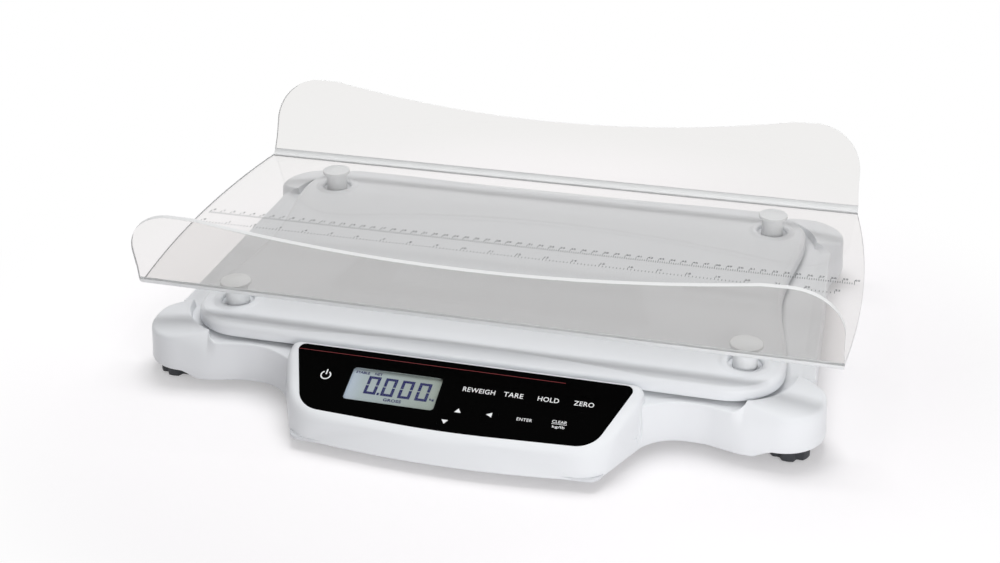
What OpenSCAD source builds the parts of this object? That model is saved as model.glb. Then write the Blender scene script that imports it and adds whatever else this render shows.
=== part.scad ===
// Animal weighing scale: a clear tray on four posts, a floating platform on a
// single-point load cell, and a base with a sloped console on levelling feet.
// Millimetres, +Z up. X runs along the tray and -Y is the console side.

/* [Tray] */
// Distance from a post's axis to the tray's end
tray_overhang_x = 76.5; // [40:0.5:120]
// How far each end of the floor bows out past the bends
tray_bow = 11; // [4:1:25]
// Distance from a post's axis to the tray's bend
tray_overhang_y = 24; // [20:0.5:60]
// Thickness of the clear sheet
tray_t = 4; // [3:0.5:6]
// Inside radius of the two bends
bend_r = 6; // [3:0.5:12]
// Angle by which each flap is bent up from the floor
flap_angle = 74; // [60:1:85]
// Length of a flap at its shoulders
flap_len = 79; // [65:1:110]
// Dip of the flap's edge from its shoulders to its middle
flap_dip = 21; // [8:1:30]
// Radius of the sweeping curve along the flap's edge
flap_sweep_r = 1300; // [900:10:2400]
// Radius of the flap's top corners
flap_corner_r = 45; // [20:1:60]

/* [Posts] */
// Diameter of a post's shaft
post_d = 20; // [14:0.5:24]
// Diameter of a post's flange under the tray
post_flange_d = 27; // [20:0.5:36]
// Thickness of a post's flange
post_flange_t = 3; // [2:0.5:5]
// Gap between the platform's top and the tray's underside
post_rise = 16; // [10:1:30]
// Depth of a post's foot below the platform's top
post_depth = 8; // [6:0.5:9]
// Running clearance between a post and its socket
post_clearance = 0.25; // [0.1:0.05:0.5]
// Distance from a post's axis to the platform's end
post_inset_x = 33; // [30:1:60]
// Distance from a post's axis to the platform's long side
post_inset_y = 46; // [30:1:60]

/* [Platform] */
// Length of the platform
platform_w = 507; // [420:1:620]
// Depth of the platform
platform_d = 341; // [280:1:420]
// Height of the platform
platform_h = 12; // [11:0.5:18]
// Corner radius of the platform
platform_corner_r = 48; // [25:1:60]
// Height of the platform's bevelled crown
crown_h = 4; // [2:0.5:5]
// Inset of the crown from the platform's rim
crown_inset = 6; // [3:0.5:12]
// Depth of the hollow curve in the platform's ends
platform_waist = 12; // [6:0.5:14]
// Thickness of the platform's top
platform_top_t = 3; // [2:0.25:4]
// Gap between the platform and the deck of the base
platform_gap = 2; // [1.5:0.25:5]
// Diameter of the dished mouth of a post socket
socket_mouth_d = 28; // [27:0.5:34]
// Depth of the dished mouth
socket_mouth_depth = 4; // [2:0.5:5]
// Wall round a post socket
socket_wall = 3; // [2:0.25:4]

/* [Base] */
// Height of the base's underside above the table
base_z = 8; // [5:0.5:15]
// Height of the base from its underside to its deck
base_h = 35; // [33:0.5:50]
// Wall thickness of the base housing
base_wall = 3; // [2:0.25:4]
// Overhang of the side arms past the platform's ends
side_margin = 25.5; // [20:0.5:40]
// Overhang of the front and rear arms past the platform's long sides
front_margin = 8.5; // [6:0.5:20]
// Overhang of the corner lobes past the platform's ends
lobe_margin_x = 36.5; // [30:0.5:50]
// Overhang of the corner lobes past the platform's long sides
lobe_margin_y = 16.5; // [14:0.5:30]
// Length of a corner lobe along the front
lobe_len_x = 78; // [70:1:90]
// Length of a corner lobe along the side
lobe_len_y = 47; // [44:1:60]
// Outer corner radius of a lobe
lobe_r = 40; // [30:1:55]
// Radius that blends a lobe into the front and rear arms
lobe_blend_r = 18; // [10:1:24]
// Radius that blends a lobe into the side arms
lobe_side_r = 40; // [20:1:44]
// Height of a lobe's horn above the deck
horn_h = 6; // [4:0.5:12]
// Gap between a horn and the platform's corner
horn_gap = 8; // [5:0.5:12]
// Slope of a horn's top
horn_slope = 9; // [6:1:25]
// Depth of the recess over each foot
foot_recess_h = 6; // [2:0.5:6]
// Radius of the recess over each foot
foot_recess_r = 36; // [30:1:38]
// Thickness of the bottom cover
cover_t = 2.5; // [2:0.25:4]
// Clearance between the bottom cover and the housing
cover_clearance = 0.3; // [0.1:0.05:0.6]

/* [Console] */
// Width of the console at its back
console_w = 300; // [280:1:310]
// Width of the console at its front
console_front_w = 254; // [240:1:262]
// Reach of the console in front of the platform
console_reach = 90; // [86:1:105]
// Bow of the console's front
console_bow = 7; // [2:0.5:10]
// Radius of the console's bowed front
console_bow_r = 900; // [500:10:1200]
// Radius of the console's front corners
console_corner_r = 14; // [8:1:20]
// Radius of the notch between the console and the arms
notch_r = 30; // [20:1:34]
// Gap between the console's back and the platform
console_gap = 3.5; // [2:0.5:6]
// Slope of the console's face
face_slope = 19.3; // [15:0.1:21]
// Height of the face's middle above the deck
face_rise = -0.5; // [-2:0.5:4]
// Distance of the face's middle in front of the platform
face_reach = 40.5; // [38:0.5:46]
// Length of the face from its middle to its upper edge
face_up = 36; // [34:0.5:40]
// Thickness of the housing under the face
face_wall = 5; // [4:0.25:7]

/* [Keypad] */
// Width of the overlay at its top edge
overlay_w = 284; // [274:1:286]
// Width of the overlay at its bottom edge
overlay_low_w = 237; // [217:1:240]
// Distance of the overlay's top edge from the face's middle
overlay_up = 33; // [31:0.5:34]
// Distance of the overlay's bottom edge from the face's middle
overlay_down = 31.5; // [31:0.5:34]
// Bow of the overlay's bottom edge
overlay_bow = 5.5; // [2:0.5:6]
// Radius of the overlay's top corners
overlay_top_r = 5.5; // [2:0.5:10]
// Radius of the overlay's bottom corners
overlay_low_r = 22; // [10:1:26]
// Thickness of the overlay foil
overlay_t = 0.8; // [0.5:0.1:1]
// Thickness of the spacer sheet under the overlay
spacer_t = 1; // [0.8:0.1:1.2]
// Thickness of the circuit sheet
circuit_t = 0.6; // [0.4:0.1:0.8]
// Radius of a key area
key_r = 7; // [5:0.25:8]
// Gap round a key area
key_gap = 0.15; // [0.1:0.05:0.4]
// Travel of a key
key_travel = 0.4; // [0.2:0.05:0.5]
// Radius of a snap dome
dome_r = 4; // [3:0.25:5]

/* [Display] */
// Width of the visible display
display_w = 75; // [60:1:78]
// Height of the visible display
display_h = 32.5; // [26:0.5:34]
// Middle of the display along the face
display_u = -49.5; // [-52:0.5:-46]
// Middle of the display up the face
display_v = -1; // [-3:0.5:3]
// Overlap of the window's flange under the overlay
window_flange = 5; // [3:0.5:6]
// Thickness of the display module
lcd_t = 6; // [4:0.5:8]
// Thickness of the circuit boards
board_t = 1.6; // [1:0.1:2]

/* [Feet] */
// Distance of a foot's axis inside the lobe's end
foot_inset_x = 27; // [26:0.5:32]
// Distance of a foot's axis inside the lobe's side
foot_inset_y = 27; // [26:0.5:32]
// Diameter of a foot's knob
knob_d = 34; // [28:1:40]
// Number of scallops round a knob
knob_scallops = 6; // [6:1:12]
// Diameter of a foot's rubber sole
sole_d = 24; // [18:1:26]
// Thickness of a foot's sole
sole_t = 3; // [2:0.5:4]
// Diameter of a foot's stud
stud_d = 8; // [6:1:10]
// Running clearance between the stud and its nut
stud_clearance = 0.06; // [0.03:0.01:0.1]
// Travel of a foot below its rest
foot_travel = 8; // [4:0.5:10]

/* [Load cell] */
// Length of the load cell
cell_len = 130; // [120:1:150]
// Width of the load cell
cell_w = 30; // [25:1:40]
// Height of the load cell
cell_h = 22; // [18:0.5:24]
// Length of each clamped end of the load cell
cell_end = 30; // [28:1:34]
// Thickness of the load cell's bending webs
cell_web = 3.7; // [2.5:0.1:5]
// Height of the slit between the load cell's eyes
cell_slit = 3.6; // [2:0.1:6]
// Thickness of the spacer under the fixed end
cell_lift = 2; // [1:0.25:4]
// Diameter of the load cell's bolts
cell_bolt_d = 6; // [5:0.5:8]
// Depth of the bolts in the load cell
cell_bolt_depth = 14; // [10:0.5:16]
// Travel of the platform to its overload stops
platform_travel = 0.5; // [0.3:0.05:0.8]

/* [Frame and battery] */
// Thickness of the steel base frame
frame_t = 3; // [2:0.5:4]
// Width of the base frame's bars
frame_bar = 40; // [36:1:44]
// Thickness of the platform carrier
carrier_t = 3; // [2:0.5:4]
// Number of cells in the battery compartment
cell_count = 6; // [4:1:8]
// Diameter of a battery cell
battery_d = 14.2; // [10:0.1:14.5]
// Length of a battery cell
battery_len = 50; // [44:0.5:50.5]
// Distance of the battery compartment behind the platform's front
battery_inset = 45; // [40:1:60]
// Wall of the battery holder
holder_wall = 1.6; // [1.2:0.1:2]
// Thickness of the battery door
door_t = 2; // [1.5:0.1:2]

/* [Hidden] */
$fn = 64;
arc_steps = 8;
// Overshoot of a cut, reach of an endless one, and the usual gap between loose pieces
bite = 1;
far = 500;
part_gap = 0.3;
pin_clearance = 0.05;
head_clearance = 0.4;

// Heights, from the table up
deck_z = base_z + base_h;
platform_z = deck_z + platform_gap;
platform_top = platform_z + platform_h;
tray_z = platform_top + post_rise;
post_z = platform_top - post_depth;
recess_z = base_z + foot_recess_h;
frame_z = recess_z + cover_t;
frame_top = frame_z + frame_t;
cell_z = frame_top + cell_lift;
cell_top = cell_z + cell_h;
carrier_screw_head_h = 1.6;
carrier_z = platform_z + carrier_screw_head_h + head_clearance;
carrier_top = carrier_z + carrier_t;
deck_t = base_wall;
cell_window_gap = 8;

// Plan, from the middle of the tray
platform_front = -platform_d / 2;
base_x = platform_w / 2 + side_margin;
base_y = platform_d / 2 + front_margin;
lobe_x = platform_w / 2 + lobe_margin_x;
lobe_y = platform_d / 2 + lobe_margin_y;
post_x = platform_w / 2 - post_inset_x;
post_y = platform_d / 2 - post_inset_y;
tray_len = 2 * (post_x + tray_overhang_x);
tray_depth = 2 * (post_y + tray_overhang_y);
foot_x = lobe_x - foot_inset_x;
foot_y = lobe_y - foot_inset_y;
frame_bar_inset = 11;
frame_bar_x = foot_x - frame_bar_inset;
frame_pad_r = lobe_r - base_wall - part_gap - norm([lobe_r - foot_inset_x, lobe_r - foot_inset_y]);
socket_outer_r = max(post_d / 2 + post_clearance, socket_mouth_d / 2) + socket_wall;
carrier_gap = 5;
carrier_inset_y = 20;
carrier_half_x = post_x - socket_outer_r - carrier_gap;
carrier_half_y = post_y - carrier_inset_y;
bow_angle = atan(2 * console_bow / console_front_w);
bow_cut = console_bow_r * (1 / cos(bow_angle) - 1);
console_y = platform_front - console_reach - bow_cut;
console_back_y = platform_front - console_gap;
face_y = platform_front - face_reach;
face_z = deck_z + face_rise;
flap_rear = tray_depth / 2 + flap_len * cos(flap_angle) + tray_t * sin(flap_angle);
rear_y = max(lobe_y, flap_rear);
frame_shift = -(rear_y + console_y + bow_cut) / 2;
corner_x = platform_w / 2 - platform_corner_r;
corner_y = platform_d / 2 - platform_corner_r;
waist_half = 0.86 * corner_y;
waist_r = (waist_half * waist_half + platform_waist * platform_waist) / (2 * platform_waist);
horn_back = 4;

// Fasteners
small_hole_r = 1.6;
small_screw_r = 1.5;
small_head_r = 3;
boss_r = 4.5;
cover_screw_len = 14;
frame_screw_r = 2;
frame_hole_r = 2.15;
frame_head_r = 4;
frame_head_h = 2.2;
frame_screw_len = 14;
frame_boss_r = 5;
frame_screw_y = 62;
stop_r = 3;
stop_boss_r = 6;
stop_boss_h = 9;
stop_inset = 34;
bolt_r = cell_bolt_d / 2;
bolt_clearance = 0.15;
bolt_hole_r = bolt_r + bolt_clearance;
bolt_head_r = cell_bolt_d;
bolt_head_h = cell_bolt_d / 2;
bolt_pitch = 14;
nut_wall = 3.6;
nut_r = stud_d / 2 + nut_wall;
nut_h = 6.4;
cover_screw_inset = 16;
console_screw_inset = 20;
console_screw_y = 28;
carrier_screw_inset = 15;

// Keypad stack and board, measured down from the face
stack_t = overlay_t + spacer_t + circuit_t;
dome_gap = 0.15;
dome_h = spacer_t - key_travel - dome_gap;
window_t = stack_t - overlay_t;
lcd_gap = 0.2;
lcd_margin = 4;
lcd_corner_r = 1;
board_depth = stack_t + lcd_gap + lcd_t;
board_h = 46;
board_boss_r = 3;
board_boss_gap = 2;
board_hole_inset = 4;
lcd_left = display_u - display_w / 2 - lcd_margin;
board_w = 2 * (board_boss_gap + board_boss_r + board_hole_inset - lcd_left);
window_left = display_u - display_w / 2 - window_flange;
window_right = display_u + display_w / 2 + window_flange;

// Battery compartment
battery_gap = 0.8;
battery_lift = 0.5;
battery_pitch = battery_d + battery_gap;
contact_t = 0.5;
contact_gap = 2;
contact_inset = 2;
spring_r = 4;
nub_r = 2.7;
nub_h = 1.2;
holder_x = cell_count * battery_pitch / 2 + holder_wall;
holder_len = battery_len + 2 * (contact_gap + holder_wall);
battery_y = platform_front + battery_inset;
holder_z = base_z + cover_t;
battery_z = holder_z + battery_d / 2 + battery_lift;
holder_h = battery_d + 2 * battery_lift + holder_wall;
door_gap = 0.4;
hinge_back = 4;
hinge_r = 1.8;
pin_r = 1.2;
pin_len = 3;
ear_t = 5;
door_front = battery_y - holder_len / 2 + holder_wall;
hinge_y = battery_y + holder_len / 2 + hinge_back;
hinge_lift = 0.2;
hinge_z = base_z + door_t + hinge_lift;
door_x = holder_x - holder_wall - door_gap;

// Feet
stud_wall = 1;
neck_r = stud_d / 2 - stud_wall;
neck_h = 3;
knob_skirt = 2;
scallop_r = 4.25;
scallop_depth = 2.8;
stud_end = 2;

// Mains inlet and load cell lead
inlet_x = -120;
inlet_w = 14;
inlet_len = 13;
inlet_h = 11;
inlet_rise = 16;
inlet_z = base_z + inlet_rise;
inlet_barrel_r = 5;
inlet_bore_r = 2.8;
inlet_pin_r = 1;
lead_r = 2;
lead_gap = 3.4;
lead_x = -holder_x - lead_gap - lead_r;
lead_z = cell_z + cell_h / 2;
lead_reach = 12;
lead_end_y = face_y + lead_reach;
lead_top = face_z + lead_reach * tan(face_slope) - (board_depth + board_t) / cos(face_slope);

white = "#eef0f2";
post_white = "#f4f6f8";
clear = [0.86, 0.9, 0.92, 0.35];
black = "#15161a";
rubber = "#2b2d31";
steel = "#a9adb3";
alloy = "#c9ccd0";
board_green = "#2f6b4f";
sheet_amber = "#c9a86a";

// Corners of the walk round the base, right half from the front, as [x, y, radius]
side_rise = console_y + console_bow + base_y;
side_lean = (console_w - console_front_w) / 2;
side_run = -side_rise * side_lean / (console_reach - console_bow - console_gap - side_lean / 2);
lobe_step = lobe_y - base_y;
lobe_bulge = lobe_x - base_x;
lobe_ramp = 2;
lobe_flare = 1.9;
notch_x = console_front_w / 2 + side_run;
lobe_start_x = lobe_x - lobe_len_x;
lobe_flat_x = lobe_start_x + lobe_ramp * lobe_step;
arm_mid_x = (notch_x + lobe_start_x) / 2;

// Fillets of the outline, no larger than the walls between them allow
ramp_half_turn = atan(1 / lobe_ramp) / 2;
bulge_half_turn = atan(1 / lobe_flare) / 2;
notch_half_turn = 45 - atan(-side_run / side_rise) / 2;
ramp_r = min(lobe_blend_r, lobe_step * norm([1, lobe_ramp]) / 2 / tan(ramp_half_turn));
bulge_r = min(lobe_side_r, lobe_bulge * norm([1, lobe_flare]) / 2 / tan(bulge_half_turn));
ramp_run = ramp_r * tan(ramp_half_turn);
notch_fit_r = min(notch_r,
    (lobe_start_x - notch_x - ramp_run) / tan(notch_half_turn) - base_wall - cover_clearance);
lobe_fit_r = min(lobe_r, lobe_x - lobe_flat_x - ramp_run, lobe_len_y - bulge_r * tan(bulge_half_turn));
BASE_HALF = [
    [console_front_w / 2, console_y + console_bow, console_corner_r],
    [notch_x, -base_y, notch_fit_r],
    [lobe_start_x, -base_y, ramp_r],
    [lobe_flat_x, -lobe_y, ramp_r],
    [lobe_x, -lobe_y, lobe_fit_r],
    [lobe_x, lobe_len_y - lobe_y, bulge_r],
    [base_x, lobe_len_y - lobe_y + lobe_flare * lobe_bulge, bulge_r],
    [base_x, lobe_y - lobe_len_y - lobe_flare * lobe_bulge, bulge_r],
    [lobe_x, lobe_y - lobe_len_y, bulge_r],
    [lobe_x, lobe_y, lobe_fit_r],
    [lobe_flat_x, lobe_y, ramp_r],
    [lobe_start_x, base_y, ramp_r]
];
BASE_CORNERS = concat([[0, console_y, console_bow_r]], BASE_HALF, flipped(BASE_HALF));
CONSOLE_HALF = [
    [console_front_w / 2, console_y + console_bow, console_corner_r],
    [console_w / 2, console_back_y - side_lean, console_corner_r],
    [console_w / 2, console_back_y, overlay_top_r]
];
CONSOLE_CORNERS = concat([[0, console_y, console_bow_r]], CONSOLE_HALF, flipped(CONSOLE_HALF));
OVERLAY_HALF = [
    [overlay_low_w / 2, -overlay_down, overlay_low_r],
    [overlay_w / 2, overlay_up, overlay_top_r]
];
OVERLAY_CORNERS = concat([[0, -overlay_down - overlay_bow, console_bow_r]],
    OVERLAY_HALF, flipped(OVERLAY_HALF));

// End view of the tray from its underside, right half, with each flap out to its shoulders
flap_run = (flap_len + tray_t) * [cos(flap_angle), sin(flap_angle)];
skin = tray_t * [sin(flap_angle), -cos(flap_angle)];
TRAY_HALF = [
    [tray_depth / 2 + tray_t * tan(flap_angle / 2), 0, bend_r + tray_t],
    [tray_depth / 2 + flap_run[0] + skin[0], tray_t + flap_run[1] + skin[1], 0],
    [tray_depth / 2 + flap_run[0], tray_t + flap_run[1], 0],
    [tray_depth / 2, tray_t, bend_r]
];
TRAY_SECTION = concat(TRAY_HALF, flipped(TRAY_HALF));

// Key names with the middle of each key on the face, clear of the display's window
key_pitch = 28;
key_upper_v = 8.5;
key_lower_v = -15;
key_block_gap = 20;
key_first_u = window_right + key_block_gap + key_r;
power_gap = 9;
power_v = 3;
arrow_u = window_right + bite + key_r;
arrow_v = -26;
arrow_step_u = 11;
arrow_step_v = 13;
UPPER_ROW = ["reweigh", "tare", "hold", "zero"];
LOWER_ROW = ["left", "enter", "clear"];
KEYS = concat(
    [["power", window_left - power_gap - key_r, power_v]],
    [for (i = [0:len(UPPER_ROW) - 1]) [UPPER_ROW[i], key_first_u + i * key_pitch, key_upper_v]],
    [["up", arrow_u + arrow_step_u, arrow_v + arrow_step_v], ["down", arrow_u, arrow_v]],
    [for (i = [0:len(LOWER_ROW) - 1]) [LOWER_ROW[i], key_first_u + (i + 1 / 2) * key_pitch, key_lower_v]]
);
CORNERS = [["front_left", -1, -1], ["front_right", 1, -1], ["rear_left", -1, 1], ["rear_right", 1, 1]];
COVER_SCREWS = concat(
    [for (sx = [-1, 1], sy = [-1, 1]) [sx * arm_mid_x, sy * (base_y - cover_screw_inset)]],
    [for (sx = [-1, 1]) [sx * (console_front_w / 2 - console_screw_inset), console_y + console_screw_y]]
);
CARRIER_SCREWS = [for (sx = [-1, 0, 1], sy = [-1, 1])
    [sx * (carrier_half_x - carrier_screw_inset), sy * (carrier_half_y - carrier_screw_inset)]];
STOPS = [for (sx = [-1, 1], sy = [-1, 1])
    [sx * (carrier_half_x - stop_inset), sy * (carrier_half_y - stop_inset)]];
FRAME_SCREWS = [for (sx = [-1, 1], sy = [-1, 1]) [sx * frame_bar_x, sy * frame_screw_y]];
BOARD_SCREWS = [for (sx = [-1, 1], sy = [-1, 1])
    [sx * (board_w / 2 - board_hole_inset), sy * (board_h / 2 - board_hole_inset)]];

// Outlines with rounded corners, walked anticlockwise
function unit(v) = v / norm(v);
function flipped(half) = [for (i = [len(half) - 1:-1:0]) [-half[i][0], half[i][1], half[i][2]]];
function point(c) = [c[0], c[1]];
function before(list, i) = point(list[(i + len(list) - 1) % len(list)]);
function after(list, i) = point(list[(i + 1) % len(list)]);
function turned(v) = [-v[1], v[0]];
function wrapped(a) = a > 180 ? a - 360 : a < -180 ? a + 360 : a;
function angle_of(v) = atan2(v[1], v[0]);
function arc_at(a, b, c, r) = r == 0 ? [b] :
    let (u = unit(a - b), v = unit(c - b), half = acos(u * v) / 2)
    let (middle = b + unit(u + v) * r / sin(half))
    let (from = angle_of(b + u * r / tan(half) - middle), to = angle_of(b + v * r / tan(half) - middle))
    [for (i = [0:arc_steps])
        let (a = from + wrapped(to - from) * i / arc_steps) middle + r * [cos(a), sin(a)]];
function rounded(list) =
    [for (i = [0:len(list) - 1]) each arc_at(before(list, i), point(list[i]), after(list, i), list[i][2])];
function inset(list, d) =
    [for (i = [0:len(list) - 1])
        let (b = point(list[i]))
        let (e = unit(b - before(list, i)), g = unit(after(list, i) - b))
        let (n = turned(e), m = turned(g), bulges = n * g > 0)
        let (moved = b + d * (n + m) / (1 + n * m))
        [moved[0], moved[1], max(list[i][2] + (bulges ? -d : d), bite)]];

module in_frame() {
    translate([0, frame_shift, 0]) children();
}

module on_face() {
    translate([0, face_y, face_z]) rotate([face_slope, 0, 0]) children();
}

module at_points(list) {
    for (p = list) translate([p[0], p[1], 0]) children();
}

module lift(z) {
    translate([0, 0, z]) children();
}

module round_rect(w, d, r) {
    square([w - 2 * r, d], center = true);
    square([w, d - 2 * r], center = true);
    for (sx = [-1, 1], sy = [-1, 1])
        translate([sx * (w / 2 - r), sy * (d / 2 - r)]) circle(r = r);
}

module slab(w, d, h, r) {
    linear_extrude(h) round_rect(w, d, r);
}

module base_prism(d, z, top) {
    lift(z) linear_extrude(top - z) polygon(rounded(inset(BASE_CORNERS, d)));
}

module console_prism(d, z, top) {
    lift(z) linear_extrude(top - z) polygon(rounded(inset(CONSOLE_CORNERS, d)));
}

// Everything above the console's face, sunk by a depth
module above_face(depth) {
    on_face() translate([-far, -far, -depth]) cube([2 * far, far + face_up, far]);
}

module foot_recesses(r, z, top) {
    for (c = CORNERS) translate([c[1] * foot_x, c[2] * foot_y, z]) cylinder(h = top - z, r = r);
}

// Base housing
module horn() {
    top = deck_z + horn_h;
    reach = 2 * lobe_r;
    inner_r = platform_corner_r + horn_gap;
    intersection() {
        base_prism(0, deck_z - bite, top);
        translate([lobe_flat_x, -far, 0]) cube([far, far - corner_y + horn_back, far]);
        translate([corner_x, -corner_y, 0]) difference() {
            lift(top - reach * tan(horn_slope))
                cylinder(h = reach * tan(horn_slope), r1 = inner_r + reach, r2 = inner_r);
            cylinder(h = far, r = inner_r);
        }
    }
}

module housing_body() {
    difference() {
        union() {
            base_prism(0, base_z, deck_z);
            console_prism(0, base_z, face_z + face_up * sin(face_slope));
            for (mx = [0, 1], my = [0, 1])
                mirror([mx, 0, 0]) mirror([0, my, 0]) horn();
        }
        above_face(0);
        foot_recesses(foot_recess_r, -bite, recess_z);
    }
}

module housing_hollow() {
    difference() {
        union() {
            base_prism(base_wall, -bite, deck_z - deck_t);
            console_prism(base_wall, -bite, face_z + face_up * sin(face_slope) - face_wall);
        }
        above_face(face_wall);
    }
}

module housing_bosses() {
    intersection() {
        union() {
            at_points(COVER_SCREWS) lift(holder_z) cylinder(h = base_h, r = boss_r);
            at_points(FRAME_SCREWS) lift(frame_top) cylinder(h = base_h, r = frame_boss_r);
            at_points(STOPS) lift(deck_z - stop_boss_h) cylinder(h = stop_boss_h, r = stop_boss_r);
            on_face() lift(-board_depth) at_points(BOARD_SCREWS) cylinder(h = board_depth, r = board_boss_r);
        }
        housing_body();
    }
}

module base_housing() {
    color(white) in_frame() difference() {
        union() {
            difference() {
                housing_body();
                housing_hollow();
            }
            housing_bosses();
        }
        // Load cell window in the deck
        lift(deck_z - deck_t - bite)
            slab(cell_len + 2 * cell_window_gap, cell_w + 2 * cell_window_gap, deck_t + 2 * bite, base_wall);
        // Recess for the keypad stack, and the display's opening under it
        on_face() lift(-stack_t) linear_extrude(stack_t + bite)
            polygon(rounded(inset(OVERLAY_CORNERS, -part_gap)));
        on_face() translate([display_u, display_v, -board_depth])
            slab(display_w + 2 * lcd_margin + part_gap, display_h + 2 * lcd_margin + part_gap, board_depth,
                lcd_corner_r);
        // Screw holes
        at_points(COVER_SCREWS) lift(holder_z - bite) cylinder(h = cover_screw_len, r = small_hole_r);
        at_points(FRAME_SCREWS) lift(frame_top - bite) cylinder(h = frame_screw_len + bite, r = frame_hole_r);
        at_points(STOPS) cylinder(h = far, r = stop_r + pin_clearance);
        on_face() lift(-board_depth - bite) at_points(BOARD_SCREWS)
            cylinder(h = board_depth - stack_t, r = small_hole_r);
        // Mains inlet
        translate([inlet_x, base_y - base_wall - bite, inlet_z]) rotate([-90, 0, 0])
            cylinder(h = base_wall + 2 * bite, r = inlet_barrel_r + part_gap);
    }
}

// Bottom cover, with a cup over each foot
module cover_level(z, top) {
    base_prism(base_wall + cover_clearance, z, top);
}

module bottom_cover() {
    color(white) in_frame() difference() {
        union() {
            difference() {
                cover_level(base_z, holder_z);
                foot_recesses(foot_recess_r + cover_t, -bite, far);
            }
            intersection() {
                cover_level(base_z, frame_z);
                foot_recesses(foot_recess_r + cover_t, base_z, frame_z);
            }
            for (sx = [-1, 1])
                translate([sx * (door_x + ear_t / 2 + door_gap), hinge_y, base_z + ear_t / 2])
                    cube(ear_t, center = true);
        }
        foot_recesses(foot_recess_r, -bite, recess_z);
        foot_recesses(stud_d / 2 + part_gap, -bite, far);
        at_points(COVER_SCREWS) lift(base_z - bite) cylinder(h = cover_t + 2 * bite, r = small_hole_r);
        at_points(COVER_SCREWS) lift(base_z)
            cylinder(h = small_head_r - small_screw_r, r1 = small_head_r + pin_clearance,
                r2 = small_screw_r + pin_clearance);
        // Opening of the battery compartment and the door's hinge holes
        translate([-door_x - door_gap, door_front - door_gap, -bite])
            cube([2 * (door_x + door_gap), hinge_y + hinge_r + 2 * door_gap - door_front + door_gap, far]);
        translate([0, hinge_y, hinge_z]) rotate([0, 90, 0])
            cylinder(h = 2 * (door_x + pin_len + part_gap), r = pin_r + pin_clearance, center = true);
    }
}

module countersunk(len, r, head_r) {
    cylinder(h = len, r = r);
    cylinder(h = head_r - r, r1 = head_r, r2 = r);
}

module cover_screws() {
    color(steel) in_frame() at_points(COVER_SCREWS) lift(base_z)
        countersunk(cover_screw_len, small_screw_r, small_head_r);
}

// Steel frame that ties the feet to the load cell
module base_frame() {
    color(steel) in_frame() difference() {
        union() {
            for (c = CORNERS)
                translate([c[1] * foot_x, c[2] * foot_y, frame_z]) cylinder(h = frame_t, r = frame_pad_r);
            for (sx = [-1, 1])
                translate([sx * frame_bar_x, 0, frame_z]) slab(frame_bar, 2 * foot_y, frame_t, base_wall);
            lift(frame_z) slab(2 * frame_bar_x, cell_w + frame_bar, frame_t, base_wall);
        }
        foot_recesses(stud_d / 2 + part_gap, 0, far);
        at_points(FRAME_SCREWS) cylinder(h = far, r = frame_hole_r);
        cell_bolt_holes(-1, frame_z, frame_top, frame_z);
    }
}

module frame_screws() {
    color(steel) in_frame() at_points(FRAME_SCREWS) lift(frame_z) {
        lift(-frame_head_h) cylinder(h = frame_head_h, r = frame_head_r);
        cylinder(h = frame_screw_len, r = frame_screw_r);
    }
}

module foot_nuts() {
    color(steel) in_frame() for (c = CORNERS)
        translate([c[1] * foot_x, c[2] * foot_y, frame_top]) difference() {
            cylinder(h = nut_h, r = nut_r, $fn = 6);
            lift(-bite) cylinder(h = nut_h + 2 * bite, r = stud_d / 2 + stud_clearance);
        }
}

// Load cell with its spacers and bolts; side -1 is the fixed end, 1 the live end
module at_cell_bolts(side) {
    for (s = [-1, 1])
        translate([side * (cell_len / 2 - cell_end / 2) + s * bolt_pitch / 2, 0, 0]) children();
}

module cell_bolt_holes(side, z, top, head_z) {
    sink = side < 0 ? 0 : 180;
    at_cell_bolts(side) {
        lift(z - bite) cylinder(h = top - z + 2 * bite, r = bolt_hole_r);
        lift(head_z) rotate([sink, 0, 0])
            cylinder(h = bolt_head_h, r1 = bolt_head_r + pin_clearance, r2 = bolt_r + pin_clearance);
    }
}

module load_cell() {
    eye_r = cell_h / 2 - cell_web;
    eye_x = cell_len / 2 - cell_end - eye_r - cell_web;
    color(alloy) in_frame() difference() {
        translate([-cell_len / 2, -cell_w / 2, cell_z]) cube([cell_len, cell_w, cell_h]);
        for (s = [-1, 1])
            translate([s * eye_x, 0, cell_z + cell_h / 2]) rotate([90, 0, 0])
                cylinder(h = cell_w + 2 * bite, r = eye_r, center = true);
        lift(cell_z + cell_h / 2) cube([2 * eye_x, cell_w + 2 * bite, cell_slit], center = true);
        at_cell_bolts(-1) lift(cell_z - bite) cylinder(h = cell_bolt_depth + 2 * bite, r = bolt_hole_r);
        at_cell_bolts(1) lift(cell_top - cell_bolt_depth - bite)
            cylinder(h = cell_bolt_depth + 2 * bite, r = bolt_hole_r);
    }
}

module cell_spacer(side, z, top) {
    difference() {
        translate([side * (cell_len - cell_end) / 2, 0, z]) slab(cell_end, cell_w, top - z, base_wall);
        at_cell_bolts(side) lift(z - bite) cylinder(h = top - z + 2 * bite, r = bolt_hole_r);
    }
}

module cell_spacer_lower() {
    color(alloy) in_frame() cell_spacer(-1, frame_top, cell_z);
}

module cell_spacer_upper() {
    color(alloy) in_frame() cell_spacer(1, cell_top, carrier_z);
}

module cell_bolts_lower() {
    color(steel) in_frame() at_cell_bolts(-1) lift(frame_z)
        countersunk(cell_z - frame_z + cell_bolt_depth, bolt_r, bolt_head_r);
}

module cell_bolts_upper() {
    color(steel) in_frame() at_cell_bolts(1) lift(carrier_top) rotate([180, 0, 0])
        countersunk(carrier_top - cell_top + cell_bolt_depth, bolt_r, bolt_head_r);
}

module overload_stops() {
    stop_top = carrier_z - platform_travel - pin_clearance;
    color(steel) in_frame() at_points(STOPS) lift(deck_z - stop_boss_h)
        cylinder(h = stop_top - deck_z + stop_boss_h, r = stop_r);
}

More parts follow.
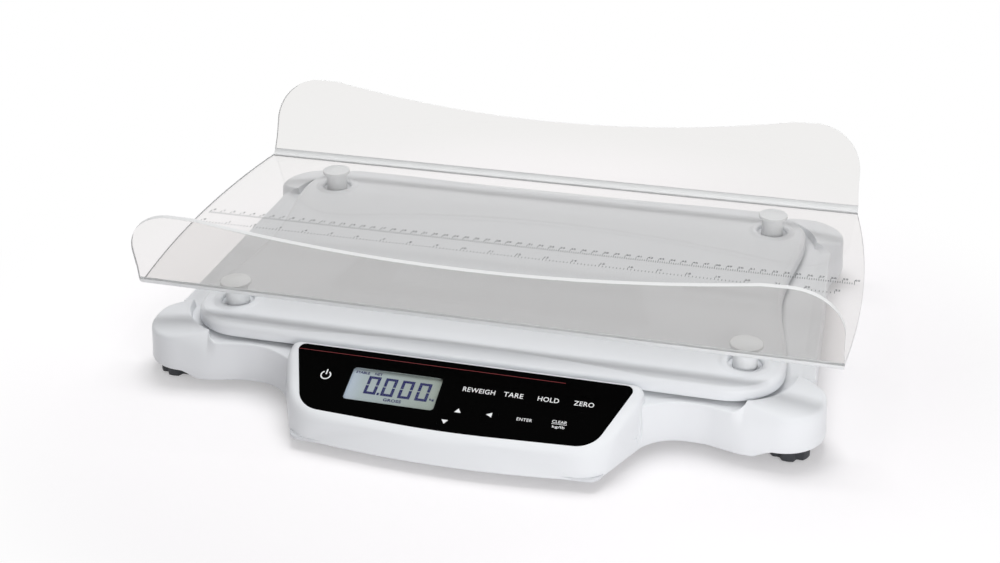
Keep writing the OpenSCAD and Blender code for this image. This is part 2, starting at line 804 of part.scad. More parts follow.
// Lead from the load cell's fixed end to the main board
module cell_lead() {
    color(black) in_frame() difference() {
        union() {
            translate([lead_x, -cell_w / 2, lead_z]) rotate([90, 0, 0])
                cylinder(h = -lead_end_y - cell_w / 2, r = lead_r);
            translate([lead_x, lead_end_y, lead_z]) sphere(r = lead_r);
            translate([lead_x, lead_end_y, lead_z]) cylinder(h = lead_top - lead_z + lead_r, r = lead_r);
        }
        above_face(board_depth + board_t);
    }
}

// Keypad: foil, spacer and circuit sheets in the face's recess
module sheet(from, thickness, hole_r) {
    on_face() lift(-from - thickness) difference() {
        linear_extrude(thickness) polygon(rounded(OVERLAY_CORNERS));
        for (k = KEYS) translate([k[1], k[2], -bite]) cylinder(h = thickness + 2 * bite, r = hole_r);
        translate([display_u, display_v, -bite]) children();
    }
}

module window_cut(grow) {
    slab(display_w + 2 * grow, display_h + 2 * grow, far, base_wall);
}

module keypad_overlay() {
    color(black) in_frame() sheet(0, overlay_t, key_r + key_gap) window_cut(part_gap);
}

module keypad_spacer() {
    color(sheet_amber) in_frame() sheet(overlay_t, spacer_t, key_r + 2 * key_gap)
        window_cut(window_flange + part_gap);
}

module keypad_circuit() {
    color(sheet_amber) in_frame() sheet(overlay_t + spacer_t, circuit_t, bite)
        window_cut(window_flange + part_gap);
}

module snap_domes() {
    color(steel) in_frame() on_face() lift(-overlay_t - spacer_t) at_points([for (k = KEYS) [k[1], k[2]]])
        cylinder(h = dome_h, r1 = dome_r, r2 = dome_r / 2);
}

module key(k) {
    color(black) in_frame() on_face() translate([k[1], k[2], -overlay_t])
        cylinder(h = overlay_t, r = key_r);
}

module display_window() {
    color(clear) in_frame() on_face() translate([display_u, display_v, 0]) {
        lift(-stack_t)
            slab(display_w + 2 * window_flange, display_h + 2 * window_flange, window_t, base_wall);
        lift(-overlay_t - pin_clearance) slab(display_w, display_h, overlay_t + pin_clearance, base_wall);
    }
}

module display_module() {
    color("#aeb8b4") in_frame() on_face() translate([display_u, display_v, -board_depth])
        slab(display_w + 2 * lcd_margin, display_h + 2 * lcd_margin, lcd_t, bite);
}

module main_board() {
    color(board_green) in_frame() on_face() lift(-board_depth - board_t) difference() {
        slab(board_w, board_h, board_t, base_wall);
        lift(-bite) at_points(BOARD_SCREWS) cylinder(h = board_t + 2 * bite, r = small_hole_r);
    }
}

module board_screws() {
    head_h = 1.5;
    screw_len = board_depth - stack_t - bite;
    color(steel) in_frame() on_face() lift(-board_depth - board_t) at_points(BOARD_SCREWS) {
        lift(-head_h) cylinder(h = head_h, r = small_head_r);
        cylinder(h = screw_len, r = small_screw_r);
    }
}

// Battery compartment
module battery_holder() {
    color(black) in_frame() translate([0, battery_y, holder_z]) difference() {
        translate([-holder_x, -holder_len / 2, 0]) cube([2 * holder_x, holder_len, holder_h]);
        translate([holder_wall - holder_x, holder_wall - holder_len / 2, -bite])
            cube([2 * (holder_x - holder_wall), holder_len - 2 * holder_wall, holder_h + bite - holder_wall]);
    }
}

module at_cells() {
    for (i = [0:cell_count - 1])
        translate([(i - (cell_count - 1) / 2) * battery_pitch, battery_y, battery_z])
            rotate([i % 2 == 0 ? 90 : -90, 0, 0]) children();
}

module battery_cells() {
    color("#3f5f8a") in_frame() at_cells() {
        lift(-battery_len / 2) cylinder(h = battery_len - nub_h, r = battery_d / 2);
        lift(battery_len / 2 - nub_h) cylinder(h = nub_h, r = nub_r);
    }
}

module battery_contacts() {
    plate_w = battery_d - 2 * contact_inset;
    end = battery_len / 2 + contact_gap;
    color(alloy) in_frame() at_cells() {
        lift(contact_t / 2 - end) cube([plate_w, plate_w, contact_t], center = true);
        lift(contact_t - end) cylinder(h = contact_gap - contact_t, r1 = spring_r, r2 = nub_r);
        lift(end - contact_t / 2) cube([plate_w, plate_w, contact_t], center = true);
        lift(battery_len / 2) cylinder(h = contact_gap - contact_t, r = nub_r);
    }
}

module battery_door() {
    color(white) in_frame() {
        translate([-door_x, door_front, base_z]) cube([2 * door_x, hinge_y - door_front, door_t]);
        translate([0, hinge_y, hinge_z]) rotate([0, 90, 0]) {
            cylinder(h = 2 * door_x, r = hinge_r, center = true);
            cylinder(h = 2 * (door_x + pin_len), r = pin_r, center = true);
        }
    }
}

module mains_inlet() {
    wall_y = base_y - base_wall;
    color(black) in_frame() difference() {
        union() {
            translate([inlet_x - inlet_w / 2, wall_y - inlet_len, inlet_z - inlet_h / 2])
                cube([inlet_w, inlet_len, inlet_h]);
            translate([inlet_x, wall_y - bite, inlet_z]) rotate([-90, 0, 0])
                cylinder(h = base_wall + bite, r = inlet_barrel_r);
        }
        translate([inlet_x, wall_y - inlet_len + base_wall, inlet_z]) rotate([-90, 0, 0]) difference() {
            cylinder(h = far, r = inlet_bore_r);
            cylinder(h = inlet_len - base_wall, r = inlet_pin_r);
        }
    }
}

// Platform that floats on the load cell
module waisted_slab(inset, h) {
    difference() {
        slab(platform_w - 2 * inset, platform_d - 2 * inset, h, platform_corner_r - inset);
        for (s = [-1, 1])
            translate([s * (platform_w / 2 - platform_waist + waist_r), 0, -bite])
                cylinder(h = far, r = waist_r + inset);
    }
}

module platform_cover() {
    hollow_inset = crown_inset + base_wall;
    hollow_h = platform_h - platform_top_t;
    socket_z = post_z - base_wall + bite;
    color(white) in_frame() difference() {
        union() {
            lift(platform_z) waisted_slab(0, platform_h - crown_h);
            lift(platform_z) waisted_slab(crown_inset, platform_h);
        }
        difference() {
            lift(platform_z - bite) waisted_slab(hollow_inset, hollow_h + bite);
            for (c = CORNERS)
                translate([c[1] * post_x, c[2] * post_y, socket_z]) cylinder(h = far, r = socket_outer_r);
            at_points(CARRIER_SCREWS) lift(carrier_top) cylinder(h = far, r = boss_r);
        }
        for (c = CORNERS) translate([c[1] * post_x, c[2] * post_y, 0]) {
            lift(post_z) cylinder(h = far, r = post_d / 2 + post_clearance);
            lift(platform_top - socket_mouth_depth) cylinder(h = far, r = socket_mouth_d / 2);
        }
        at_points(CARRIER_SCREWS) lift(carrier_top - bite)
            cylinder(h = platform_top - carrier_top - bite, r = small_hole_r);
    }
}

module platform_carrier() {
    color(alloy) in_frame() difference() {
        lift(carrier_z) slab(2 * carrier_half_x, 2 * carrier_half_y, carrier_t, boss_r);
        at_points(CARRIER_SCREWS) cylinder(h = far, r = small_hole_r);
        cell_bolt_holes(1, carrier_z, carrier_top, carrier_top);
    }
}

module carrier_screws() {
    screw_len = carrier_t + platform_top - carrier_top - 2 * bite - part_gap;
    color(steel) in_frame() at_points(CARRIER_SCREWS) lift(carrier_z) {
        lift(-carrier_screw_head_h) cylinder(h = carrier_screw_head_h, r = small_head_r);
        cylinder(h = screw_len, r = small_screw_r);
    }
}

// Tray, bent from one sheet: its end view, cut to the bowed plan and the flaps' outline
module bowed_plan() {
    bow_r = (tray_depth * tray_depth / 4 + tray_bow * tray_bow) / (2 * tray_bow);
    bow_x = bow_r - tray_len / 2 - tray_bow;
    intersection() {
        translate([-bow_x, 0]) circle(r = bow_r);
        translate([bow_x, 0]) circle(r = bow_r);
    }
}

module flap_outline() {
    shoulder = flap_len - flap_corner_r;
    difference() {
        union() {
            square([tray_len, 2 * shoulder], center = true);
            square([tray_len - 2 * flap_corner_r, 2 * flap_len], center = true);
            for (s = [-1, 1])
                translate([s * (tray_len / 2 - flap_corner_r), shoulder]) circle(r = flap_corner_r);
        }
        translate([0, flap_len - flap_dip + flap_sweep_r]) circle(r = flap_sweep_r);
    }
}

module flap_trim() {
    low = (flap_len - flap_corner_r) / 2;
    translate([0, tray_depth / 2, tray_t]) rotate([flap_angle, 0, 0]) lift(-2 * tray_t)
        linear_extrude(3 * tray_t) difference() {
            translate([-far, low]) square([2 * far, far]);
            flap_outline();
        }
}

module tray() {
    color(clear) in_frame() lift(tray_z) difference() {
        intersection() {
            rotate([90, 0, 90]) linear_extrude(tray_len + 2 * tray_bow, center = true)
                polygon(rounded(TRAY_SECTION));
            lift(-far / 2) linear_extrude(far) bowed_plan();
        }
        flap_trim();
        mirror([0, 1, 0]) flap_trim();
    }
}

module post(c) {
    color(post_white) in_frame() translate([c[1] * post_x, c[2] * post_y, 0]) {
        lift(post_z) cylinder(h = tray_z - post_z, r = post_d / 2);
        lift(tray_z - post_flange_t) cylinder(h = post_flange_t, r = post_flange_d / 2);
    }
}

// Levelling feet: a rubber sole that stays put under a knob that turns
module foot_sole(c) {
    color(rubber) in_frame() translate([c[1] * foot_x, c[2] * foot_y, 0]) {
        cylinder(h = sole_t, r = sole_d / 2);
        cylinder(h = sole_t + neck_h, r = neck_r);
    }
}

module foot_knob(c) {
    knob_z = sole_t - knob_skirt;
    knob_top = recess_z - part_gap;
    stud_top = frame_top + nut_h + foot_travel + stud_end;
    color(black) in_frame() translate([c[1] * foot_x, c[2] * foot_y, 0]) difference() {
        union() {
            lift(knob_z) cylinder(h = knob_top - knob_z, r = knob_d / 2);
            cylinder(h = stud_top, r = stud_d / 2);
        }
        for (i = [1:knob_scallops])
            rotate(i * 360 / knob_scallops) translate([knob_d / 2 + scallop_r - scallop_depth, 0, -bite])
                cylinder(h = recess_z, r = scallop_r);
        lift(-bite) cylinder(h = sole_t + part_gap + bite, r = sole_d / 2 + part_gap);
        cylinder(h = sole_t + neck_h + part_gap, r = neck_r + part_gap);
    }
}

base_housing();
bottom_cover();
cover_screws();
base_frame();
frame_screws();
foot_nuts();
load_cell();
cell_spacer_lower();
cell_bolts_lower();
overload_stops();
cell_lead();
keypad_overlay();
keypad_spacer();
keypad_circuit();
snap_domes();
display_window();
display_module();
main_board();
board_screws();
battery_holder();
battery_cells();
battery_contacts();
mains_inlet();
battery_door();
platform_cover();
platform_carrier();
carrier_screws();
cell_spacer_upper();
cell_bolts_upper();
tray();
for (c = CORNERS) {
    post(c);
    foot_sole(c);
    foot_knob(c);
}
for (k = KEYS) {
    key(k);
}
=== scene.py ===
import math

import bmesh
import bpy
from mathutils import Matrix, Vector


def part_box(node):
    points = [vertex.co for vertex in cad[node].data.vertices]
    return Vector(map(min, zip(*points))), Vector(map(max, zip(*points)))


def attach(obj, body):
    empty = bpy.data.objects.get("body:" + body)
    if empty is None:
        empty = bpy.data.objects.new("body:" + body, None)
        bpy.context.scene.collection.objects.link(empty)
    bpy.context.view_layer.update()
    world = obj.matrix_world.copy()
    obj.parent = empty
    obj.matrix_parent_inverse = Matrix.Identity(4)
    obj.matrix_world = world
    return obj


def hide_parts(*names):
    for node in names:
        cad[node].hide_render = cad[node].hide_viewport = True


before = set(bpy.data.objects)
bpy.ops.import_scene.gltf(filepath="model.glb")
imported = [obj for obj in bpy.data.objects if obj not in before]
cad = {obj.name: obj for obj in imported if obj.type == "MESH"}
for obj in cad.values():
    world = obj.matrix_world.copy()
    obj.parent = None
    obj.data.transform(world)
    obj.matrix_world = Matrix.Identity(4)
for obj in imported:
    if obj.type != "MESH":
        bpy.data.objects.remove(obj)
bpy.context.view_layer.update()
scene = bpy.context.scene

# Camera: it stands in front of the console, a little to the right, and looks down on the tray
# through a lens slightly longer than normal.
aim = Vector((0.0055, -0.04535, 0.080))
camera_turn = math.radians(14.61)
camera_tilt = math.radians(27.53)
camera_roll = math.radians(-0.16)
camera_reach = 1.216
picture_width = 1000
focal_pixels = 1417.7
camera_data = bpy.data.cameras.new("camera")
camera_data.sensor_width = 36
camera_data.lens = camera_data.sensor_width * focal_pixels / picture_width
camera = bpy.data.objects.new("camera", camera_data)
scene.collection.objects.link(camera)
turned = Matrix.Rotation(camera_turn, 4, "Z") @ Matrix.Rotation(math.pi / 2 - camera_tilt, 4, "X")
rolled = turned @ Matrix.Rotation(camera_roll, 4, "Z")
camera.matrix_world = Matrix.Translation(aim) @ rolled @ Matrix.Translation((0, 0, camera_reach))
scene.camera = camera

# Base housing: one white ABS moulding, with four corner lobes, the arms that join them and the
# sloped console in front. Its walls have a little draft and its outer edges are rounded over.
housing_lo, housing_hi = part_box("base_housing")
platform_lo, platform_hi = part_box("platform_cover")
plan_middle = (platform_lo + platform_hi) / 2
half_length = platform_hi.x
half_depth = platform_hi.y - plan_middle.y
base_z = housing_lo.z
platform_gap, ceiling_drop = 0.002, 0.0095
deck_z = platform_lo.z - platform_gap
ceiling_z = deck_z - ceiling_drop
arm_past_side, arm_past_front = 0.0255, 0.0085
arm_x = half_length + arm_past_side
arm_y = half_depth + arm_past_front
lobe_x = housing_hi.x
lobe_y = housing_hi.y - plan_middle.y
draft, waist_share, shoulder_share = 0.0022, 0.4, 0.85
wall, ceiling_inset, low_round = 0.0032, 0.0100, 0.0012
recess_rise, recess_start, recess_end = 0.006, 0.038, 0.030
hidden_rise, hidden_sink, hidden_run = 0.012, 0.002, 0.008
crease_y = -0.2015
notch_x, notch_lean = 0.190, 0.0042
notch_start, notch_run, notch_end = -0.181, 0.020, -0.196
plan_corner = 0.048
corner_middle = Vector((half_length - plan_corner, half_depth - plan_corner))
horn_shift = Vector((0.0035, -0.0035))
horn_middle = corner_middle + horn_shift
horn_radius, horn_rise, horn_fall = 0.0545, 0.006, 0.155
horn_top = deck_z + horn_rise
horn_from, horn_to = math.radians(2.5), math.radians(77)
ramp_from, ramp_to = math.radians(-3), math.radians(83)
rim_from, rim_to = math.radians(4.2), math.radians(70.4)
side_taper, front_taper, taper, tip_curve = math.radians(10), math.radians(27), 0.92, 1.5
arm_round, horn_round = 0.0018, 0.0040
shoulder_drop, waist_rise = 0.004, 0.016
shoulder_z, waist_z = deck_z - shoulder_drop, base_z + waist_rise
deck_drop, shelf, rim_round, rim_run = 0.0010, 0.012, 0.0012, 0.0015
corner_names = ("front_left", "front_right", "rear_left", "rear_right")


def colour(code):
    """Linear colour of a six-digit sRGB code."""
    parts = [int(code[place:place + 2], 16) / 255 for place in (0, 2, 4)]
    return [part / 12.92 if part <= 0.04045 else ((part + 0.055) / 1.055) ** 2.4 for part in parts] + [1]


def ease(share):
    share = min(max(share, 0), 1)
    return share * share * (3 - 2 * share)


def mirrored(half):
    return half + [(-x, y, radius) for x, y, radius in reversed(half)]


def outline_ring(corners, arc_steps, run_length=None, run_steps=1):
    """Points round an outline of (x, y, radius) corners, with its straight runs divided."""
    arcs = []
    for index, (x, y, radius) in enumerate(corners):
        corner = Vector((x, y))
        back = (Vector(corners[index - 1][:2]) - corner).normalized()
        onward = (Vector(corners[(index + 1) % len(corners)][:2]) - corner).normalized()
        half = back.angle(onward) / 2
        centre = corner + (back + onward).normalized() * radius / math.sin(half)
        start = corner + back * radius / math.tan(half) - centre
        end = corner + onward * radius / math.tan(half) - centre
        first = math.atan2(start.y, start.x)
        turn = math.remainder(math.atan2(end.y, end.x) - first, math.tau)
        angles = [first + turn * step / arc_steps for step in range(arc_steps + 1)]
        arcs.append([centre + radius * Vector((math.cos(angle), math.sin(angle))) for angle in angles])
    ring = []
    for arc, following in zip(arcs, arcs[1:] + arcs[:1]):
        run = following[0] - arc[-1]
        pieces = run_steps if run_length is None else math.ceil(run.length / run_length)
        ring += arc + [arc[-1] + run * step / pieces for step in range(1, pieces)]
    return ring


def inward_steps(ring):
    """Unit steps that lead into an outline walked anticlockwise."""
    tangents = [after - before for before, after in zip(ring[-1:] + ring[:-1], ring[1:] + ring[:1])]
    return [Vector((-tangent.y, tangent.x)).normalized() for tangent in tangents]


def each(value, count):
    """One value for every point of a ring, or the ring's own list of them."""
    return value if isinstance(value, list) else [value] * count


def stepped(ring, distances, heights):
    """A ring of points in space, moved in from an outline and set at one height or at many."""
    count = len(ring)
    plan = [point + step * distance
            for point, step, distance in zip(ring, inward_steps(ring), each(distances, count))]
    return [Vector((point.x, point.y + plan_middle.y, z)) for point, z in zip(plan, each(heights, count))]


def towards(ring, target, distances, most=0.45):
    """A ring moved towards another by a distance, or by a share of the way where that is less."""
    ways = [goal - point for point, goal in zip(ring, target)]
    return [point + way.normalized() * min(distance, way.length * most)
            for point, way, distance in zip(ring, ways, each(distances, len(ring)))]


def soft_edge(lower, edge, upper, steps):
    """Rings that round an edge over, from the ring below it to the ring above it."""
    shares = [step / steps for step in range(steps + 1)]
    return [[a.lerp(b, share).lerp(b.lerp(c, share), share) for a, b, c in zip(lower, edge, upper)]
            for share in shares]


def rounded_foot(ring, heights, radius, steps):
    """Rings that round over the lower edge of an upright wall."""
    lifted = [z + radius for z in each(heights, len(ring))]
    return soft_edge(stepped(ring, radius, heights), stepped(ring, 0, heights),
                     stepped(ring, 0, lifted), steps)


def new_shape():
    shape = bmesh.new()
    shape.verts.layers.int.new("place")
    return shape


def loft(shape, rings):
    """Extrudes a closed loop of edges from ring to ring, and gives its first and last loops."""
    place = shape.verts.layers.int["place"]
    verts = [shape.verts.new(point) for point in rings[0]]
    for index, vert in enumerate(verts):
        vert[place] = index
    first = [shape.edges.new(pair) for pair in zip(verts, verts[1:] + verts[:1])]
    last = first
    for ring in rings[1:]:
        grown = bmesh.ops.extrude_edge_only(shape, edges=last)["geom"]
        fresh = {part for part in grown if isinstance(part, bmesh.types.BMVert)}
        for vert in fresh:
            vert.co = ring[vert[place]]
        last = [part for part in grown
                if isinstance(part, bmesh.types.BMEdge) and fresh.issuperset(part.verts)]
    return first, last


def face_outwards(shape):
    bmesh.ops.recalc_face_normals(shape, faces=shape.faces)


def closed_loft(rings):
    shape = new_shape()
    for loop in loft(shape, rings):
        bmesh.ops.edgeloop_fill(shape, edges=loop)
    bmesh.ops.triangulate(shape, faces=shape.faces)
    face_outwards(shape)
    return shape


def solid_object(name, shape):
    mesh = bpy.data.meshes.new(name)
    shape.to_mesh(mesh)
    shape.free()
    solid = bpy.data.objects.new(name, mesh)
    scene.collection.objects.link(solid)
    return solid


def carve(solid, shape, operation):
    """Joins a closed shape to a solid, or cuts it away, and keeps the outcome as the solid's mesh."""
    tool = solid_object("tool", shape)
    change = solid.modifiers.new("carve", "BOOLEAN")
    change.operation = operation
    change.object = tool
    change.solver = "EXACT"
    outcome = bpy.data.meshes.new_from_object(solid.evaluated_get(bpy.context.evaluated_depsgraph_get()))
    solid.modifiers.clear()
    solid.data = outcome
    bpy.data.objects.remove(tool)


def finished(piece, material, body, replaced=(), sharp=35):
    """Smooths a piece up to its sharp edges, paints it and lets it ride on its body."""
    piece.data.materials.clear()
    piece.data.materials.append(material)
    for face in piece.data.polygons:
        face.use_smooth = True
        face.material_index = 0
    piece.data.set_sharp_from_angle(angle=math.radians(sharp))
    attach(piece, body)
    if replaced:
        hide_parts(*replaced)


def feed(socket, value):
    """Gives a socket its value, or links it to another socket, the first one where a node is given."""
    if isinstance(value, bpy.types.Node):
        value = value.outputs[0]
    if isinstance(value, bpy.types.NodeSocket):
        socket.id_data.links.new(value, socket)
    else:
        socket.default_value = value


def set_node(node, *inputs, **settings):
    """Feeds a node's sockets, in their order or by their names, and makes its other settings."""
    for name, value in settings.items():
        label = name.replace("_", " ")
        if label in node.inputs:
            feed(node.inputs[label], value)
        else:
            setattr(node, name, value)
    for socket, value in zip(node.inputs, inputs):
        feed(socket, value)
    return node


def add_node(tree, kind, *inputs, **settings):
    return set_node(tree.nodes.new("ShaderNode" + kind), *inputs, **settings)


def new_material(name):
    """A material, with its node tree and its shader."""
    material = bpy.data.materials.new(name)
    material.use_nodes = True
    return material, material.node_tree, material.node_tree.nodes["Principled BSDF"]


def new_skin(name, *scales):
    """A group for a finish of two tones and two glosses, with a socket for each scale of its pattern."""
    skin = bpy.data.node_groups.new(name, "ShaderNodeTree")
    for label in ("Tone", "Shade"):
        skin.interface.new_socket(label, in_out="INPUT", socket_type="NodeSocketColor")
    for label in ("Smooth", "Dull") + scales:
        skin.interface.new_socket(label, in_out="INPUT", socket_type="NodeSocketFloat")
    skin.interface.new_socket("Color", in_out="OUTPUT", socket_type="NodeSocketColor")
    for label in ("Roughness", "Height"):
        skin.interface.new_socket(label, in_out="OUTPUT", socket_type="NodeSocketFloat")
    return skin, skin.nodes.new("NodeGroupInput"), skin.nodes.new("NodeGroupOutput")


def mix_skin(given, made, mask, height):
    """Mixes a skin's tones and glosses by a mask, and puts them out with its relief."""
    tint = add_node(given.id_data, "Mix", data_type="RGBA", Factor=mask)
    gloss = add_node(given.id_data, "Mix", data_type="FLOAT", Factor=mask,
                     A=given.outputs["Smooth"], B=given.outputs["Dull"])
    first_colour, second_colour, mixed_colour = tint.inputs[6], tint.inputs[7], tint.outputs[2]
    feed(first_colour, given.outputs["Tone"])
    feed(second_colour, given.outputs["Shade"])
    set_node(made, Color=mixed_colour, Roughness=gloss, Height=height)


def skinned(name, skin, metallic, bump, tone, shade, **values):
    """A material whose colour, gloss and relief come from a skin."""
    material, tree, shader = new_material(name)
    surface = add_node(tree, "Group", node_tree=skin, Tone=colour(tone), Shade=colour(shade), **values)
    relief = add_node(tree, "Bump", Strength=bump, Distance=grain_depth, Height=surface.outputs["Height"])
    set_node(shader, Metallic=metallic, Base_Color=surface.outputs["Color"],
             Roughness=surface.outputs["Roughness"], Normal=relief)
    return material


# Moulded plastic varies a little in tone and gloss, and has a very fine spark-eroded grain
grain_depth = 0.0001
moulded_skin, given, made = new_skin("moulded_skin", "Patch Scale", "Grain Scale")
where = add_node(moulded_skin, "TexCoord").outputs["Object"]
patches = add_node(moulded_skin, "TexNoise", Vector=where, Scale=given.outputs["Patch Scale"],
                   Detail=4, Roughness=0.6)
specks = add_node(moulded_skin, "TexNoise", Vector=where, Scale=given.outputs["Grain Scale"], Detail=2)
mix_skin(given, made, patches, specks)


def moulded(name, tone, shade, smooth, dull, patch=9, grain=1400, bump=0.03):
    """A plastic, rubber or ink finish."""
    return skinned(name, moulded_skin, 0, bump, tone, shade, Smooth=smooth, Dull=dull,
                   Patch_Scale=patch, Grain_Scale=grain)


white_plastic = moulded("white_plastic", "edeff2", "eaecef", 0.29, 0.35)

body_corners = mirrored([
    (0.1425, -0.2115, 0.0155), (0.158, -arm_y, 0.040), (0.197, -arm_y, 0.050), (0.226, -lobe_y, 0.050),
    (lobe_x, -lobe_y, 0.037), (lobe_x, -0.138, 0.040), (arm_x, -0.117, 0.040), (arm_x, 0.117, 0.040),
    (lobe_x, 0.138, 0.040), (lobe_x, lobe_y, 0.037), (0.226, lobe_y, 0.050), (0.197, arm_y, 0.050)])
body = outline_ring(body_corners, 14, run_length=0.0022)
feet = [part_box("foot_sole_" + corner) for corner in corner_names]
foot_middles = [((lo + hi) / 2 - plan_middle).to_2d() for lo, hi in feet]


def underside(point):
    """Height of the housing's lower edge: raised over the feet, and where the console hides it."""
    if point.y < crease_y:
        return base_z + hidden_rise
    nearest = min((point - foot).length for foot in foot_middles)
    share = (recess_start - nearest) / (recess_start - recess_end)
    return base_z + recess_rise * min(max(share, 0), 1)


def arm_column(point, step, lean_in):
    """Crest, rim and rounding of the wall on an arm, where the deck falls away inside the crest."""
    inward = Vector((0, -point.y)) if abs(point.y) > corner_middle.y else Vector((-point.x, 0))
    if point.y < 0 and abs(point.x) < notch_x:
        inward = step
    rim = point + inward.normalized() * shelf
    crest = point + step * lean_in
    sunk = hidden_sink * ease((notch_end - point.y) / hidden_run)
    return Vector((*crest, deck_z - sunk)), Vector((*rim, deck_z - deck_drop)), arm_round


def rim_point(point, angle):
    """Plan of a horn's inner rim, in the quarter of the plan that a point is in."""
    rim = horn_middle + horn_radius * Vector((math.cos(angle), math.sin(angle)))
    return Vector((math.copysign(rim.x, point.x), math.copysign(rim.y, point.y)))


def horn_column(point, step, angle):
    """The same on a horn, whose crest runs in to meet the rim at both of its tips."""
    share = (angle - horn_from) / (horn_to - horn_from)
    rim = rim_point(point, rim_from + share * (rim_to - rim_from))
    to_tip = min((angle - horn_from) / side_taper, (horn_to - angle) / front_taper, 1)
    lean = taper * (1 - to_tip) ** tip_curve
    crest = (point + step * draft).lerp(rim, lean)
    crest_z = horn_top - horn_fall * (crest - rim).length
    rounding = horn_round + (arm_round - horn_round) * lean / taper
    return Vector((*crest, crest_z)), Vector((*rim, horn_top)), rounding


def ramp_column(point, step, angle):
    """The same on the ramp from a horn's tip down to the crest of the arm."""
    at_side = angle < horn_from
    if at_side:
        share = (horn_from - angle) / (horn_from - ramp_from)
    else:
        share = (angle - horn_to) / (ramp_to - horn_to)
    tip = rim_point(point, rim_from if at_side else rim_to)
    arm_crest, arm_rim, rounding = arm_column(point, step, draft)
    crest = arm_crest.to_2d().lerp(tip, taper * (1 - share))
    rim = tip.lerp(arm_rim.to_2d(), share)
    crest_z = horn_top + share * (deck_z - horn_top)
    return Vector((*crest, crest_z)), Vector((*rim, deck_z - deck_drop)), rounding


columns = []
drafts = []
for point, step in zip(body, inward_steps(body)):
    from_middle = Vector((abs(point.x), abs(point.y))) - horn_middle
    angle = math.atan2(from_middle.y, from_middle.x)
    in_notch = abs(point.x) < notch_x and point.y < 0
    drafts.append(draft + (notch_lean * ease((notch_start - point.y) / notch_run) if in_notch else 0))
    if horn_from <= angle <= horn_to:
        columns.append(horn_column(point, step, angle))
    elif ramp_from < angle < ramp_to:
        columns.append(ramp_column(point, step, angle))
    else:
        columns.append(arm_column(point, step, drafts[-1]))
into_place = Vector((0, plan_middle.y, 0))
crest = [column[0] + into_place for column in columns]
rim = [column[1] + into_place for column in columns]
rounds = [column[2] for column in columns]
low_z = [underside(point) for point in body]
waist_leans = [waist_share * lean_in for lean_in in drafts]
shoulder = stepped(body, [shoulder_share * lean_in for lean_in in drafts], shoulder_z)
rim_ways = [(inner - outer).to_2d().normalized().to_3d() for inner, outer in zip(rim, crest)]
foot_of_rim = [Vector((inner.x, inner.y, deck_z - deck_drop)) + way * rim_run
               for inner, way in zip(rim, rim_ways)]
body_rings = [stepped(body, ceiling_inset, ceiling_z), stepped(body, wall, low_z)]
body_rings += rounded_foot(body, low_z, low_round, 3)
wall_top = towards(crest, shoulder, rounds, most=0.8)
body_rings += soft_edge(stepped(body, waist_leans, waist_z), shoulder, wall_top, 6)
body_rings += soft_edge(wall_top, crest, towards(crest, rim, rounds), 5)[1:]
body_rings += soft_edge(towards(rim, crest, rim_round), rim, towards(rim, foot_of_rim, rim_round), 2)
body_rings.append(foot_of_rim)
housing = solid_object("housing", closed_loft(body_rings))

# The console: its foot is the outline on the table side, its top the border of the sloped face
face_slope = math.radians(19.3)
face_reach, face_drop = 0.0405, 0.0005
face_middle = Vector((0, platform_lo.y - face_reach, deck_z - face_drop))
face_place = Matrix.Translation(face_middle) @ Matrix.Rotation(face_slope, 4, "X")
face_round = 0.0090
console_end_y = -0.1965
sheet_stack = 0.0024
cavity_depth, cavity_inset = 0.0135, 0.0040
recess_gap = 0.00015
foot_corners = mirrored([
    (0, -0.2686, 0.740), (0.1247, -0.2500, 0.026), (0.1500, -0.1962, 0.006), (0.1500, -0.174, 0.004)])[:-1]
face_corners = mirrored([
    (0, -0.0438, 0.900), (0.1255, -0.0385, 0.046), (0.1475, 0.020, 0.040), (0.1485, 0.0362, 0.005)])[:-1]
overlay_corners = mirrored([
    (0, -0.0370, 0.900), (0.1185, -0.0315, 0.022), (0.1337, 0.010, 0.100), (0.142, 0.033, 0.0055)])[:-1]


def on_face(ring, depth=0.0):
    return [face_place @ Vector((*point, -depth)) for point in ring]


console_foot, console_top, overlay_edge = [
    outline_ring(corners, 8, run_steps=8) for corners in (foot_corners, face_corners, overlay_corners)]
console_low = [base_z + (hidden_rise if point.y > console_end_y else 0) for point in console_foot]
recess_edge = [point - step * recess_gap for point, step in zip(overlay_edge, inward_steps(overlay_edge))]
cavity_edge = [point + step * cavity_inset for point, step in zip(console_top, inward_steps(console_top))]
foot_ring = stepped(console_foot, 0, [z + low_round for z in console_low])
face_ring = on_face(console_top)
recess_ring = on_face(recess_edge)
console_rings = [on_face(cavity_edge, cavity_depth), stepped(console_foot, wall, console_low)]
console_rings += rounded_foot(console_foot, console_low, low_round, 3)
console_rings += soft_edge(towards(face_ring, foot_ring, face_round), face_ring,
                           towards(face_ring, recess_ring, face_round, most=0.85), 7)
console_rings += [recess_ring, on_face(recess_edge, sheet_stack)]
carve(housing, closed_loft(console_rings), "UNION")

